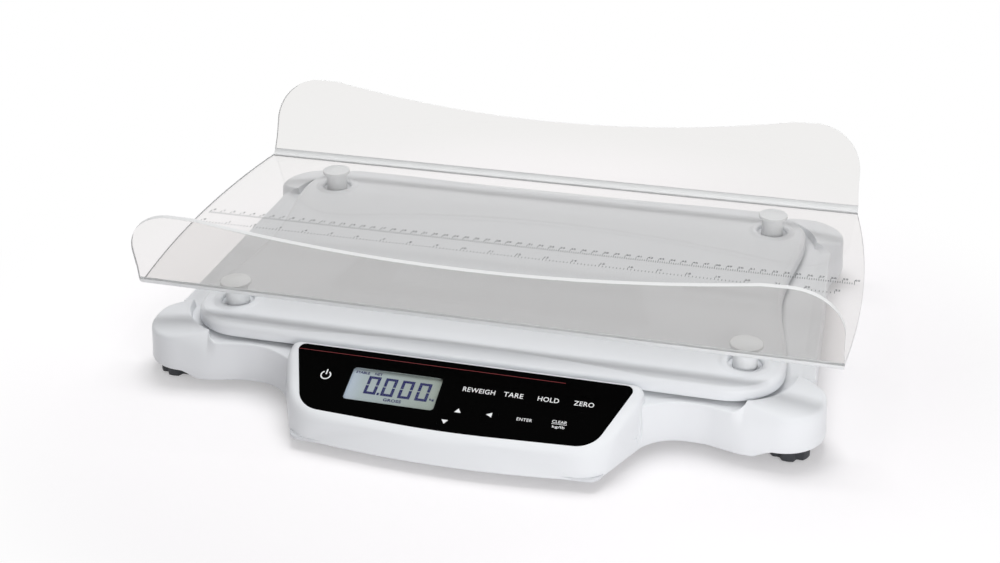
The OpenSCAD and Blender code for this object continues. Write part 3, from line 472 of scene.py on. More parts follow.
# Openings: the load cell's window in the deck, the display's pocket and the mains inlet's hole
cell_lo, cell_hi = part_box("load_cell")
window_gap = Vector((0.008, 0.008, 0))
window_size = Matrix.Diagonal(cell_hi - cell_lo + 2 * window_gap).to_4x4()
window_at = Matrix.Translation(((cell_lo + cell_hi) / 2).to_2d().to_3d() + Vector((0, 0, deck_z)))
cell_window = bmesh.new()
bmesh.ops.create_cube(cell_window, size=1, matrix=window_at @ window_size)
carve(housing, cell_window, "DIFFERENCE")
display_u, display_v = -0.0495, -0.001
display_half = Vector((0.0375, 0.01625))
pocket_margin, pocket_corner, above_face = 0.0043, 0.0015, 0.001
pocket_x, pocket_y = display_half.x + pocket_margin, display_half.y + pocket_margin
pocket = outline_ring([(display_u + x, display_v + y, pocket_corner) for x, y in (
    (-pocket_x, -pocket_y), (pocket_x, -pocket_y), (pocket_x, pocket_y), (-pocket_x, pocket_y))], 4)
carve(housing, closed_loft([on_face(pocket, 2 * cavity_depth), on_face(pocket, -above_face)]), "DIFFERENCE")
inlet_x, inlet_rise, inlet_radius, inlet_depth = -0.120, 0.016, 0.0053, 0.02
inlet_at = Matrix.Translation((inlet_x, plan_middle.y + arm_y, base_z + inlet_rise))
inlet_hole = bmesh.new()
bmesh.ops.create_cone(inlet_hole, cap_ends=True, segments=40, radius1=inlet_radius, radius2=inlet_radius,
                      depth=inlet_depth, matrix=inlet_at @ Matrix.Rotation(math.pi / 2, 4, "X"))
carve(housing, inlet_hole, "DIFFERENCE")
finished(housing, white_plastic, "base", ["base_housing"])


# Bottom cover, battery holder and door: plain white and black mouldings under the housing. The
# cover is held by six zinc-plated screws, and the door swings on two moulded pins.
def paint(names, material):
    for name in names:
        for slot in cad[name].material_slots:
            slot.material = material


cover_plastic = moulded("cover_plastic", "e0e2e5", "d6d8dc", 0.42, 0.52, grain=900, bump=0.06)
holder_plastic = moulded("holder_plastic", "1b1c1f", "232427", 0.40, 0.52, grain=900, bump=0.06)
paint(["bottom_cover", "battery_door"], cover_plastic)
paint(["battery_holder", "mains_inlet"], holder_plastic)

# Metalwork: a pressed steel frame ties the feet to the load cell, which is milled from aluminium
# bar. Screws, bolts, nuts and stops are zinc plated.
rolled_metal, given, made = new_skin("rolled_metal", "Streak Scale")
where = add_node(rolled_metal, "TexCoord").outputs["Object"]
along = add_node(rolled_metal, "Mapping", Vector=where, Scale=(0.15, 6, 6))
streaks = add_node(rolled_metal, "TexNoise", Vector=along,
                   Scale=given.outputs["Streak Scale"], Detail=5, Roughness=0.7)
mix_skin(given, made, streaks, streaks)


def metal(name, tone, shade, scale, smooth, dull, bump=0.05):
    return skinned(name, rolled_metal, 1, bump, tone, shade, Smooth=smooth, Dull=dull, Streak_Scale=scale)


frame_steel = metal("frame_steel", "b4b8bd", "989ca2", 60, 0.30, 0.50)
screw_steel = metal("screw_steel", "c6c8c6", "aeb0ae", 300, 0.29, 0.40)
milled_alloy = metal("milled_alloy", "d0d3d6", "babec2", 220, 0.28, 0.42)
paint(["base_frame"], frame_steel)
paint(["cover_screws", "frame_screws", "foot_nuts", "overload_stops", "board_screws", "carrier_screws",
       "cell_bolts_lower", "cell_bolts_upper", "snap_domes", "battery_contacts"], screw_steel)
paint(["load_cell", "cell_spacer_lower", "cell_spacer_upper", "platform_carrier"], milled_alloy)

# Inside of the console: black film sheets under the keypad, the green main board, blue-jacketed
# cells in their holder and the load cell's black lead.
film_black = moulded("film_black", "0b0b0c", "101011", 0.40, 0.50, patch=40)
board_green = moulded("board_green", "2f6b4f", "285d45", 0.32, 0.45, patch=120, grain=700)
cell_jacket = moulded("cell_jacket", "3f5f8a", "37547c", 0.28, 0.36, patch=60)
lead_black = moulded("lead_black", "1a1b1d", "232427", 0.45, 0.6, grain=600)
paint(["keypad_spacer", "keypad_circuit"], film_black)
paint(["main_board"], board_green)
paint(["battery_cells"], cell_jacket)
paint(["cell_lead"], lead_black)

# Keypad: a black gloss polyester foil, back printed, with ten key areas that snap down on domes.
# The legends and the thin red line are white and red print.
foil_black = moulded("foil_black", "020202", "030303", 0.16, 0.24, patch=14, grain=2600, bump=0.012)
set_node(foil_black.node_tree.nodes["Principled BSDF"], Specular_IOR_Level=0.01)
key_names = ["power", "reweigh", "tare", "hold", "zero", "up", "down", "left", "enter", "clear"]
paint(["keypad_overlay"] + ["key_" + name for name in key_names], foil_black)
print_white = moulded("print_white", "f2f3f4", "e6e8ea", 0.35, 0.45, patch=300)
print_red = moulded("print_red", "82262a", "762226", 0.35, 0.45, patch=300)
ink_thickness, ink_lift, letter_space = 0.00004, 0.00001, 1.06


def lettering(words, width, height, weight):
    """Flat letters of a plain face, drawn to a width and height about the origin."""
    text = bpy.data.curves.new("letters", "FONT")
    text.body = words
    text.align_x = "CENTER"
    text.align_y = "CENTER"
    text.offset = weight
    text.space_character = letter_space
    text.resolution_u = 4
    holder = bpy.data.objects.new("letters", text)
    scene.collection.objects.link(holder)
    mesh = bpy.data.meshes.new_from_object(holder.evaluated_get(bpy.context.evaluated_depsgraph_get()))
    bpy.data.objects.remove(holder)
    shape = bmesh.new()
    shape.from_mesh(mesh)
    bpy.data.meshes.remove(mesh)
    bmesh.ops.remove_doubles(shape, verts=shape.verts, dist=1e-5)
    xs = [vert.co.x for vert in shape.verts]
    ys = [vert.co.y for vert in shape.verts]
    middle = Vector(((min(xs) + max(xs)) / 2, (min(ys) + max(ys)) / 2, 0))
    tall = height / (max(ys) - min(ys))
    wide = width / (max(xs) - min(xs)) if width else tall
    bmesh.ops.transform(shape, matrix=Matrix.Diagonal((wide, tall, 1, 1)) @ Matrix.Translation(-middle),
                        verts=shape.verts)
    return shape


def panel(points):
    """One flat face through a few points."""
    shape = bmesh.new()
    shape.faces.new([shape.verts.new((x, y, 0)) for x, y in points])
    return shape


def bar(u, v, width, height):
    return panel([(u - width / 2, v - height / 2), (u + width / 2, v - height / 2),
                  (u + width / 2, v + height / 2), (u - width / 2, v + height / 2)])


def joined(shapes):
    """Several shapes as one."""
    whole = bmesh.new()
    for shape in shapes:
        mesh = bpy.data.meshes.new("part")
        shape.to_mesh(mesh)
        shape.free()
        whole.from_mesh(mesh)
        bpy.data.meshes.remove(mesh)
    return whole


def moved(shape, x, y):
    bmesh.ops.translate(shape, vec=Vector((x, y, 0)), verts=shape.verts)
    return shape


def printed(name, shape, place, material, body):
    """Gives flat print its ink thickness, lays it on a surface and lets it ride."""
    for face in shape.faces:
        if face.normal.z < 0:
            face.normal_flip()
    grown = bmesh.ops.extrude_face_region(shape, geom=shape.faces[:])["geom"]
    raised = [part for part in grown if isinstance(part, bmesh.types.BMVert)]
    bmesh.ops.translate(shape, vec=Vector((0, 0, ink_thickness)), verts=raised)
    face_outwards(shape)
    bmesh.ops.transform(shape, matrix=place @ Matrix.Translation((0, 0, ink_lift)), verts=shape.verts)
    finished(solid_object(name, shape), material, body)


def triangle(u, v, turn, size=0.0031, flatness=0.86):
    angles = [turn + math.radians(90 + 120 * corner) for corner in range(3)]
    return panel([(u + size * math.cos(angle), v + size * flatness * math.sin(angle)) for angle in angles])


def power_symbol(u, v):
    """A broken ring with a stroke in its gap."""
    ring_inner, ring_outer, gap = 0.0034, 0.0045, math.radians(64)
    stem_width, stem_length = 0.0011, 0.0052
    shape = bmesh.new()
    ends = [shape.verts.new((0, radius, 0)) for radius in (ring_inner, ring_outer)]
    shape.edges.new(ends)
    bmesh.ops.rotate(shape, cent=(0, 0, 0), matrix=Matrix.Rotation(gap / 2, 3, "Z"), verts=ends)
    bmesh.ops.spin(shape, geom=shape.verts[:] + shape.edges[:], cent=(0, 0, 0), axis=(0, 0, 1),
                   angle=math.tau - gap, steps=36)
    face_outwards(shape)
    return moved(joined([shape, bar(0, ring_inner, stem_width, stem_length)]), u, v)


def legend(name, shape, body="base", ink=print_white):
    printed("legend_" + name, shape, face_place, ink, body)


line_v, line_left, line_right, line_width = 0.0272, -0.1390, 0.086, 0.00042
legend("line", bar((line_left + line_right) / 2, line_v, line_right - line_left, line_width), ink=print_red)
power_u, power_v = -0.108, 0.0033
legend("power", power_symbol(power_u, power_v), "key_power")
word_height, small_height, word_weight, small_weight = 0.0046, 0.0029, 0.006, 0.01
for name, u, v, width, height in (
        ("reweigh", 0.0197, 0.0081, 0.0263, word_height), ("tare", 0.0478, 0.0084, 0.0157, word_height),
        ("hold", 0.0760, 0.0086, 0.0171, word_height), ("zero", 0.1044, 0.0090, 0.0160, word_height),
        ("enter", 0.0618, -0.0140, 0.0123, small_height)):
    legend(name, moved(lettering(name.upper(), width, height, word_weight), u, v))
for name, u, v, turn in (("up", 0.0082, -0.0146, 0), ("down", 0.0003, -0.0259, 180),
                         ("left", 0.0340, -0.0139, 90)):
    legend(name, triangle(u, v, math.radians(turn)), "key_" + name)
clear_u, clear_v, clear_pitch = 0.0893, -0.0142, 0.0026
rule_rise, rule_length, rule_width = 0.0004, 0.0122, 0.00035
legend("clear", joined([
    moved(lettering("CLEAR", 0.0119, 0.0027, small_weight), clear_u, clear_v + clear_pitch),
    bar(clear_u, clear_v + rule_rise, rule_length, rule_width),
    moved(lettering("kg/lb", 0.0098, 0.0031, small_weight), clear_u, clear_v - clear_pitch)]))

# Display: a reflective liquid crystal module behind a clear window let into the foil. Its digits
# are plain bars, dark blue on grey green. Its glass carries a painted highlight, lighter and bluer at
# the left end, and painted shade, darker at the right.
lcd_depth, cloud_share, painted_highlight_end = 0.0026, 0.12, 0.22
lcd_place = face_place @ Matrix.Translation((display_u, display_v, -lcd_depth))
lcd_glass, tree, shader = new_material("lcd_glass")
where = add_node(tree, "TexCoord").outputs["Object"]
apart = add_node(tree, "SeparateXYZ", where)
spread = add_node(tree, "MapRange", apart.outputs["X"], From_Min=display_u - display_half.x,
                  From_Max=display_u + display_half.x)
clouds = add_node(tree, "TexNoise", Vector=where, Scale=60, Detail=3)
shift = add_node(tree, "Math", clouds, cloud_share, spread, operation="MULTIPLY_ADD")
# Painted light: the ramp runs from a painted highlight at the left end to painted shade at the right, mottled
# by faint clouds
tones = add_node(tree, "ValToRGB", shift)
tones.color_ramp.elements[0].color = colour("dae5f8")
tones.color_ramp.elements[1].color = colour("aeb7ae")
tones.color_ramp.elements.new(painted_highlight_end).color = colour("c2cdd0")
set_node(shader, Base_Color=tones, Roughness=0.3)
paint(["display_module"], lcd_glass)
lcd_ink = moulded("lcd_ink", "0a0f58", "101562", 0.40, 0.5, patch=300)
digit_width, digit_height, stroke, slant = 0.0078, 0.0158, 0.0025, 0.03
digit_pitch, first_digit, digit_v = 0.0143, -0.0181, 0.0017
digit_count, bar_gap, point_share = 4, 0.0004, 0.8
mark_weight = 0.035


def nought(u):
    """The lit bars of a nought, with a gap halfway up each side."""
    side, end = digit_width / 2, digit_height / 2
    length = end - stroke / 2 - bar_gap
    middle = bar_gap + length / 2
    ends = [bar(u, v, digit_width + stroke, stroke) for v in (-end, end)]
    return ends + [bar(u + x, v, stroke, length) for x in (-side, side) for v in (-middle, middle)]


lit_bars = [lit for place in range(digit_count) for lit in nought(first_digit + place * digit_pitch)]
point = bar(first_digit + digit_pitch / 2, -digit_height / 2, point_share * stroke, stroke)
digits = joined(lit_bars + [point])
lean = Matrix.Identity(4)
lean[0][1] = slant
bmesh.ops.transform(digits, matrix=lean, verts=digits.verts)
marks = [moved(digits, 0, digit_v)]
for words, width, height, u, v in (
        ("GROSS", 0.0150, 0.0030, 0.0022, -0.0110), ("kg", 0.0040, 0.0028, 0.0335, -0.0048),
        ("STABLE", 0.0118, 0.0026, -0.0296, 0.0133), ("NET", 0.0064, 0.0026, -0.0162, 0.0135)):
    marks.append(moved(lettering(words, width, height, mark_weight), u, v))
printed("lcd_figures", joined(marks), lcd_place, lcd_ink, "base")


def clear_sheet(name, tint, roughness, ior, shadow):
    """A clear plastic that lets the lamps through, with faint scuffs in its gloss."""
    material, tree, shader = new_material(name)
    where = add_node(tree, "TexCoord").outputs["Object"]
    scuffs = add_node(tree, "TexNoise", Vector=where, Scale=30, Detail=6, Roughness=0.7)
    gloss = add_node(tree, "MapRange", scuffs, To_Min=0, To_Max=roughness)
    set_node(shader, Base_Color=colour(tint), Transmission_Weight=1, IOR=ior, Roughness=gloss)
    path = add_node(tree, "LightPath")
    passing = add_node(tree, "BsdfTransparent", Color=colour(shadow))
    either = add_node(tree, "MixShader", path.outputs["Is Shadow Ray"], shader, passing)
    set_node(tree.nodes["Material Output"], Surface=either)
    return material


paint(["display_window"], clear_sheet("window_clear", "fbfcfc", 0.004, 1.18, "f4f6f6"))

# Platform: a shallow white tray turned over on the load cell. Its fascia is widest in the middle of
# each side and dies away at the corners, and four dished sockets take the tray's posts.
platform_top = platform_hi.z
fascia_rise, ridge_drop, table_drop = 0.0083, 0.0003, 0.0013
fascia_z = platform_lo.z + fascia_rise
ridge_z, table_z = platform_top - ridge_drop, platform_top - table_drop
fascia_side, fascia_corner, fascia_curve = 0.0150, 0.0045, 0.7
fascia_draft, fascia_lean = 0.0006, 0.0008
end_waist, end_waist_reach = 0.012, 0.115
ridge_fall, ridge_fall_start = 0.0009, 0.009
dip_in, dip_sag, table_in, table_middle_in = 0.0025, 0.0001, 0.005, 0.0054
ridge_round, edge_round, foot_round, cover_wall = 0.0009, 0.0022, 0.001, 0.0045
cover_ring = outline_ring(
    mirrored([(half_length, -half_depth, plan_corner), (half_length, half_depth, plan_corner)]),
    14, run_length=0.006)
for point in cover_ring:
    if abs(point.x) > corner_middle.x and abs(point.y) < end_waist_reach:
        hollow = end_waist * (1 - (point.y / end_waist_reach) ** 2) ** 2
        point.x -= math.copysign(hollow, point.x)
post_names = ["post_" + corner for corner in corner_names]
post_boxes = [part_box(name) for name in post_names]
post_middles = [((lo + hi) / 2 - plan_middle).to_2d() for lo, hi in post_boxes]
post_foot = post_boxes[0][0].z
socket_radius, mouth_radius, collar_radius = 0.01025, 0.0140, 0.0222
socket_floor, cup_wall, inside_rise = 0.0025, 0.002, 0.0035
inside_z = post_foot + inside_rise


def waist(point):
    """How far the ridge stands in from the rim at a point of the platform's outline."""
    on_side = abs(point.y) > abs(point.x) - (half_length - half_depth)
    grown = fascia_side * ease(1 - abs(point.x) / corner_middle.x) ** fascia_curve if on_side else 0
    return max(grown, fascia_corner)


waists = [waist(point) for point in cover_ring]
ridge_plan = [point + step * way for point, step, way in zip(cover_ring, inward_steps(cover_ring), waists)]
ridge_levels = [ridge_z - ridge_fall * ease((ridge_fall_start - way) / (ridge_fall_start - fascia_corner))
                for way in waists]
ridge = [Vector((point.x, point.y + plan_middle.y, z)) for point, z in zip(ridge_plan, ridge_levels)]
dip = stepped(ridge_plan, dip_in, [(z + table_z) / 2 - dip_sag for z in ridge_levels])
fascia_edge = stepped(cover_ring, fascia_lean, fascia_z)
cover_rings = [stepped(cover_ring, cover_wall, inside_z), stepped(cover_ring, cover_wall, platform_lo.z)]
cover_rings += rounded_foot(cover_ring, platform_lo.z, foot_round, 2)
cover_rings += soft_edge(stepped(cover_ring, fascia_draft, fascia_z - edge_round), fascia_edge,
                         towards(fascia_edge, ridge, edge_round), 4)
cover_rings += soft_edge(towards(ridge, fascia_edge, ridge_round), ridge, towards(ridge, dip, ridge_round), 3)
cover_rings += [dip, stepped(ridge_plan, table_in, table_z), stepped(ridge_plan, table_middle_in, table_z)]
platform_shape = new_shape()
inner_loop, table_loop = loft(platform_shape, cover_rings)
collar_foot = ((0.0004, 0), (0, 0), (-0.0014, 0.0002))
collar_lip = ((0.0055, 0.0003), (0.0042, 0.00005), (0.0028, 0), (0.0014, 0.0003), (0.0004, 0.0010),
              (0, 0.0020), (0, 0.004))
seat_drop = 0.0042
socket_profile = [(collar_radius + out, table_z + up) for out, up in collar_foot]
socket_profile += [(mouth_radius + out, platform_top - drop) for out, drop in collar_lip]
socket_profile += [(socket_radius, platform_top - seat_drop), (socket_radius, post_foot)]
holes_above, holes_below = [], []


def around(middle, radius, angle, z):
    """A point at an angle round an upright axis."""
    return Vector((middle.x + radius * math.cos(angle),
                   middle.y + plan_middle.y + radius * math.sin(angle), z))


def circle(middle, radius, z, steps=56):
    return [around(middle, radius, math.tau * step / steps, z) for step in range(steps)]


for middle in post_middles:
    mouth, floor_loop = loft(platform_shape, [circle(middle, radius, z) for radius, z in socket_profile])
    bmesh.ops.edgeloop_fill(platform_shape, edges=floor_loop)
    holes_above += mouth
    skirt, cup_floor = loft(platform_shape, [circle(middle, mouth_radius + cup_wall, z)
                                             for z in (inside_z, post_foot - socket_floor)])
    bmesh.ops.edgeloop_fill(platform_shape, edges=cup_floor)
    holes_below += skirt
bmesh.ops.triangle_fill(platform_shape, edges=table_loop + holes_above, use_beauty=True)
bmesh.ops.triangle_fill(platform_shape, edges=inner_loop + holes_below, use_beauty=True)
face_outwards(platform_shape)
finished(solid_object("platform", platform_shape), white_plastic, "platform", ["platform_cover"])

# Tray: one sheet of clear acrylic, sawn to shape with flame-polished edges and bent up along both
# sides into leaning flaps. It is bonded to the posts.
sheet_thickness = 0.004
floor_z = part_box("tray")[0].z + sheet_thickness
bend_y, end_x, end_bow = 0.1485, 0.297, 0.011
flap_angle, bend_radius = math.radians(74), 0.006
bend_run = bend_radius * math.tan(flap_angle / 2)
flap_length, flap_dip, flap_corner = 0.079, 0.021, 0.045
flap_end_low, flap_end_high = 0.012, 0.022
sweep_radius, sweep_share = 1.300, 0.985
bow_radius = (bend_y ** 2 + end_bow ** 2) / (2 * end_bow)
bend_steps, end_steps, corner_steps, sweep_steps = 10, 16, 16, 40
edge_polish = 0.0005


def end_at(y):
    """Distance of the bowed end from the middle, at a distance across the tray."""
    return end_x + end_bow - bow_radius + math.sqrt(bow_radius ** 2 - y ** 2)


def flap_edge():
    """Right to left round a flap, as (along, up the flap) from one end of the bend to the other."""
    shoulder = flap_length - flap_corner
    right = [(end_at(bend_y + up * math.cos(flap_angle)), up)
             for up in (bend_run + flap_end_low, bend_run + flap_end_high)]
    turn_middle = end_at(bend_y + shoulder * math.cos(flap_angle)) - flap_corner
    sweep_half = math.asin(math.sqrt(2 * sweep_radius * flap_dip - flap_dip ** 2) / sweep_radius)
    for step in range(corner_steps + 1):
        angle = math.pi / 2 * step / corner_steps
        right.append((turn_middle + flap_corner * math.cos(angle), shoulder + flap_corner * math.sin(angle)))
    sweep = []
    for step in range(sweep_steps + 1):
        angle = sweep_share * sweep_half * (1 - 2 * step / sweep_steps)
        sweep.append((sweep_radius * math.sin(angle),
                      flap_length - flap_dip + sweep_radius * (1 - math.cos(angle))))
    return right + sweep + [(-x, up) for x, up in reversed(right)]


sheet = bmesh.new()
floor_edge = bend_y - bend_run
ends = [floor_edge * (1 - 2 * step / end_steps) for step in range(end_steps + 1)]
loop = [(end_at(y), -y) for y in ends] + [(-end_at(y), y) for y in ends]
floor_verts = [sheet.verts.new((x, y + plan_middle.y, floor_z)) for x, y in loop]
sheet.faces.new(floor_verts)
for side in (-1, 1):
    fold = [edge for edge in sheet.edges
            if all(abs(vert.co.y - plan_middle.y - side * floor_edge) < 1e-6 for vert in edge.verts)]
    axis_at = Vector((0, plan_middle.y + side * floor_edge, floor_z + bend_radius))
    bent = bmesh.ops.spin(sheet, geom=fold, cent=axis_at, axis=(side, 0, 0), angle=flap_angle,
                          steps=bend_steps)
    last = [part for part in bent["geom_last"] if isinstance(part, bmesh.types.BMVert)]
    right_end, left_end = sorted(last, key=lambda vert: -vert.co.x)
    flap = []
    for x, up in flap_edge():
        across = bend_y + up * math.cos(flap_angle)
        flap.append(sheet.verts.new((x, plan_middle.y + side * across, floor_z + up * math.sin(flap_angle))))
    sheet.faces.new([right_end] + flap + [left_end])
face_outwards(sheet)
if sum(face.normal.z * face.calc_area() for face in sheet.faces) < 0:
    bmesh.ops.reverse_faces(sheet, faces=sheet.faces)
tray = solid_object("clear_tray", sheet)
thicken = tray.modifiers.new("thickness", "SOLIDIFY")
thicken.thickness = sheet_thickness
thicken.offset = -1
thicken.use_even_offset = True
thicken.material_offset_rim = 1
polish = tray.modifiers.new("polish", "BEVEL")
polish.width = edge_polish
polish.segments = 2
polish.limit_method = "ANGLE"
polish.angle_limit = math.radians(50)
even = tray.modifiers.new("even", "WEIGHTED_NORMAL")
even.keep_sharp = True
acrylic = clear_sheet("clear_acrylic", "f0efee", 0.05, 1.22, "fcfcfc")
# A pale finish for the sawn edges, also used on the bends as a painted highlight
sawn_edge_and_bend_highlight = moulded("sawn_edge_and_bend_highlight", "fafbfb", "f3f4f5", 0.30, 0.38, patch=40, grain=900, bump=0.05)
set_node(sawn_edge_and_bend_highlight.node_tree.nodes["Principled BSDF"], Transmission_Weight=0.15)
finished(tray, acrylic, "tray", ["tray"], sharp=50)
tray.data.materials.append(sawn_edge_and_bend_highlight)
# The bends take the pale edge finish too, as a painted highlight where the clear bends catch the light
bend_least, bend_most = math.cos(flap_angle) + 0.01, 0.999
for face in tray.data.polygons:
    if bend_least < face.normal.z < bend_most:
        face.material_index = 1

# Ruler: grey print on the tray's floor, centimetres behind and inches in front, both counted from
# the left end.
ruler_grey = moulded("ruler_grey", "56595b", "66696b", 0.5, 0.6, patch=400)
ruler_start, ruler_end = -0.300, 0.300
centimetre, inch = 0.010, 0.0254
tick_width, number_height, number_weight = 0.0005, 0.0034, 0.02
number_right, number_up = 0.0024, 0.0012
ruler_marks = []
for base_y, unit, parts, long_tick, short_tick in ((-0.0074, centimetre, 5, 0.0070, 0.0034),
                                                   (-0.0281, inch, 8, 0.0052, 0.0028)):
    count = int((ruler_end - ruler_start) / unit + 0.001)
    for index in range(count * parts + 1):
        tick = short_tick if index % parts else long_tick
        ruler_marks.append(bar(ruler_start + index * unit / parts, base_y + tick / 2, tick_width, tick))
    for number in range(count + 1):
        ruler_marks.append(moved(lettering(str(number), None, number_height, number_weight),
                                 ruler_start + number * unit + number_right, base_y + long_tick + number_up))
ruler_place = Matrix.Translation((0, plan_middle.y, floor_z))
printed("ruler", joined(ruler_marks), ruler_place, ruler_grey, "tray")

# Posts: turned white nylon, with a flange bonded under the tray and a foot that drops into the
# platform's socket.
post_nylon = moulded("post_nylon", "fcfdfd", "f6f8fa", 0.34, 0.44, patch=30)
shaft_radius, flange_radius, flange_thickness = 0.010, 0.0135, 0.003
post_round, bond = 0.0008, 0.00005
shaft_edge = ((-post_round, 0), (-0.0002, 0.0003), (0, post_round))
shaft_fillet = ((0, -0.0012), (0.0004, -0.0004), (0.0012, 0))
flange_low_edge = ((-0.0006, 0), (-0.0001, 0.0003), (0, 0.0008))
flange_top_edge = ((0, -0.0006), (-0.0002, -0.0002), (-0.0006, bond))


def turned_piece(profile, middle, steps=56):
    """Spins a profile of (radius, height) points round an upright axis."""
    shape = bmesh.new()
    verts = [shape.verts.new((middle.x + radius, middle.y + plan_middle.y, z)) for radius, z in profile]
    edges = [shape.edges.new(pair) for pair in zip(verts, verts[1:])]
    bmesh.ops.spin(shape, geom=verts + edges, cent=(middle.x, middle.y + plan_middle.y, 0), axis=(0, 0, 1),
                   angle=math.tau, steps=steps, use_merge=True)
    bmesh.ops.remove_doubles(shape, verts=shape.verts, dist=1e-6)
    face_outwards(shape)
    return shape


for name, (lo, hi), middle in zip(post_names, post_boxes, post_middles):
    flange_z = hi.z - flange_thickness
    profile = [(0, lo.z)]
    for radius, z, edge in ((shaft_radius, lo.z, shaft_edge), (shaft_radius, flange_z, shaft_fillet),
                            (flange_radius, flange_z, flange_low_edge),
                            (flange_radius, hi.z, flange_top_edge)):
        profile += [(radius + out, z + up) for out, up in edge]
    profile.append((0, hi.z + bond))
    post = solid_object("turned_" + name, turned_piece(profile, middle))
    finished(post, post_nylon, "tray", [name])

# Levelling feet: a scalloped black knob moulded round a threaded stud, turned by hand, on a dark
# grey rubber sole that stays still on the table.
knob_plastic = moulded("knob_plastic", "303236", "3a3c40", 0.45, 0.58, grain=700, bump=0.08)
sole_rubber = moulded("sole_rubber", "2b2d30", "36383b", 0.70, 0.85, grain=500, bump=0.15)
scallops, knob_radius, scallop_depth, scallop_curve, knob_steps = 6, 0.017, 0.0028, 1.2, 120
stud_radius, thread_pitch, thread_depth, root_share, crest_share = 0.004, 0.00125, 0.0005, 0.1, 0.5
knob_round, knob_gap, stud_sunk = 0.0011, 0.0003, 0.001
knob_low, knob_high = 0.001, base_z + recess_rise - knob_gap
sole_height, sole_chamfer_in, sole_chamfer_up = 0.0030, 0.0008, 0.0006


def knob_ring(middle, inset, z):
    ring = []
    for step in range(knob_steps):
        angle = math.tau * step / knob_steps
        cut = scallop_depth * max(math.cos(scallops * angle), 0) ** scallop_curve
        ring.append(around(middle, knob_radius - cut - inset, angle, z))
    return ring


def stud_shape(middle, low, high):
    """A threaded stud: its profile of ridges, spun round."""
    turns = int((high - low) / thread_pitch) - 1
    profile = [(0, low), (stud_radius - thread_depth, low)]
    for turn in range(turns):
        z = low + turn * thread_pitch
        profile += [(stud_radius - thread_depth, z + root_share * thread_pitch),
                    (stud_radius, z + crest_share * thread_pitch)]
    profile += [(stud_radius - 2 * thread_depth, high), (0, high)]
    return turned_piece(profile, middle, steps=28)


for corner, middle in zip(corner_names, foot_middles):
    lo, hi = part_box("foot_knob_" + corner)
    sole_lo, sole_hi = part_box("foot_sole_" + corner)
    rings = soft_edge(knob_ring(middle, knob_round, knob_low), knob_ring(middle, 0, knob_low),
                      knob_ring(middle, 0, knob_low + knob_round), 3)
    rings += soft_edge(knob_ring(middle, 0, knob_high - knob_round), knob_ring(middle, 0, knob_high),
                       knob_ring(middle, knob_round, knob_high), 3)
    stud = stud_shape(middle, knob_high - stud_sunk, hi.z)
    knob = solid_object("knob_" + corner, joined([closed_loft(rings), stud]))
    finished(knob, knob_plastic, "foot_knob_" + corner, ["foot_knob_" + corner], sharp=40)
    sole_radius = (sole_hi.x - sole_lo.x) / 2
    profile = [(0, sole_lo.z), (sole_radius - sole_chamfer_in, sole_lo.z),
               (sole_radius, sole_lo.z + sole_chamfer_up), (sole_radius, sole_lo.z + sole_height),
               (0, sole_lo.z + sole_height)]
    sole = solid_object("sole_" + corner, turned_piece(profile, middle))
    finished(sole, sole_rubber, "foot_sole_" + corner, ["foot_sole_" + corner])


# Stage: a pale floor that keeps the shadow and turns to white away from the scale, in a white
# surround. Two soft lamps, one overhead and one in front, are kept out of reflections.
def shown_white(tree):
    """1 where a ray sees the surround straight on, in a gloss or through a clear piece."""
    path = add_node(tree, "LightPath").outputs
    seen = add_node(tree, "Math", path["Is Camera Ray"], path["Is Glossy Ray"], operation="MAXIMUM")
    through = add_node(tree, "Math", seen, path["Is Transmission Ray"], operation="MAXIMUM")
    direct = add_node(tree, "Math", path["Diffuse Depth"], 0.5, operation="LESS_THAN")
    return add_node(tree, "Math", through, direct, operation="MULTIPLY")


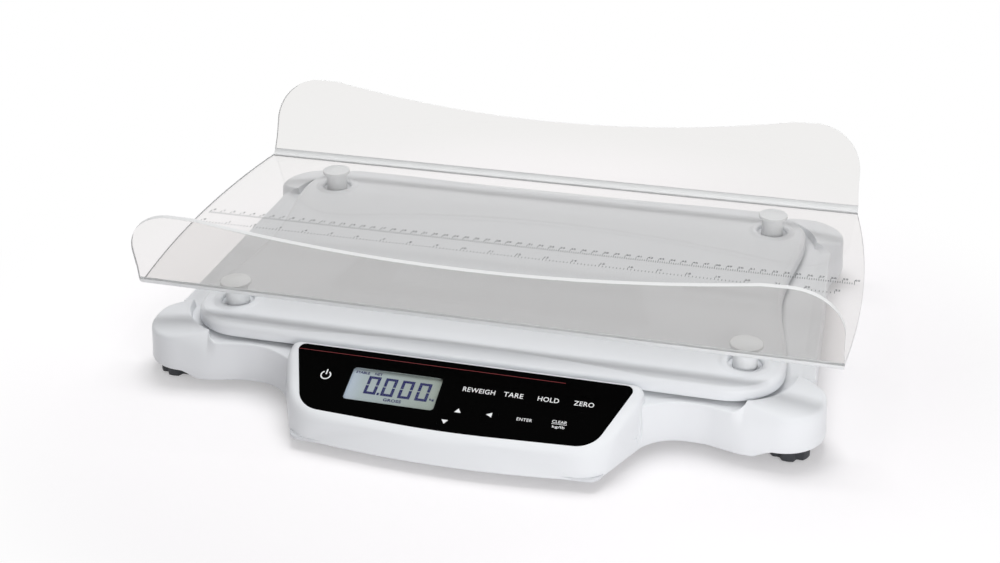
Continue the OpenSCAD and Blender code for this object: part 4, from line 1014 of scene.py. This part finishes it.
floor_reach, fade_start, fade_end = 8, 0.36, 0.54
glow_behind, glow_in_front, glow_run, surround_light = 0.37, 0.23, 0.25, 0.38
floor_shape = bmesh.new()
bmesh.ops.create_grid(floor_shape, x_segments=1, y_segments=1, size=floor_reach)
floor = solid_object("floor", floor_shape)
floor_paint, tree, shader = new_material("floor_paint")
tree.nodes.remove(shader)
shown = shown_white(tree)
where = add_node(tree, "TexCoord").outputs["Object"]
reach = add_node(tree, "VectorMath", where, operation="LENGTH")
fade = add_node(tree, "MapRange", reach.outputs["Value"], interpolation_type="SMOOTHSTEP",
                From_Min=fade_start, From_Max=fade_end)
slope = add_node(tree, "VectorMath", where, (0.7, -0.7, 0), operation="DOT_PRODUCT")
graded = add_node(tree, "MapRange", slope.outputs["Value"], From_Min=-glow_run, From_Max=glow_run,
                  To_Min=glow_behind, To_Max=glow_in_front)
near = add_node(tree, "Math", shown, graded, operation="MULTIPLY")
near_glow = add_node(tree, "Emission", Strength=near)
matt = add_node(tree, "BsdfDiffuse", Color=colour("e2e0e2"))
both = add_node(tree, "AddShader", matt, near_glow)
far = add_node(tree, "Math", shown, fade, operation="MULTIPLY")
far_glow = add_node(tree, "Emission", Strength=shown)
spread = add_node(tree, "MixShader", far, both, far_glow)
set_node(tree.nodes["Material Output"], Surface=spread)
floor.data.materials.append(floor_paint)

world = bpy.data.worlds.new("surround")
scene.world = world
world.use_nodes = True
tree = world.node_tree
level = add_node(tree, "MapRange", shown_white(tree), To_Min=surround_light, To_Max=1)
set_node(tree.nodes["Background"], Color=(1, 1, 1, 1), Strength=level)


def soft_lamp(name, power, size, place, target):
    data = bpy.data.lights.new(name, "AREA")
    data.energy = power
    data.shape = "RECTANGLE"
    data.size, data.size_y = size
    lamp = bpy.data.objects.new(name, data)
    lamp.rotation_euler = (Vector(target) - Vector(place)).to_track_quat("-Z", "Y").to_euler()
    lamp.location = place
    lamp.visible_glossy = False
    lamp.visible_transmission = False
    scene.collection.objects.link(lamp)


soft_lamp("overhead_lamp", 15.2, (1.0, 0.8), (-0.08, 0.50, 1.6), (0, 0, 0.05))
soft_lamp("front_lamp", 4.3, (0.7, 0.4), (0.57, -0.87, 0.35), (0.05, 0, 0.05))

scene.view_settings.view_transform = "Standard"
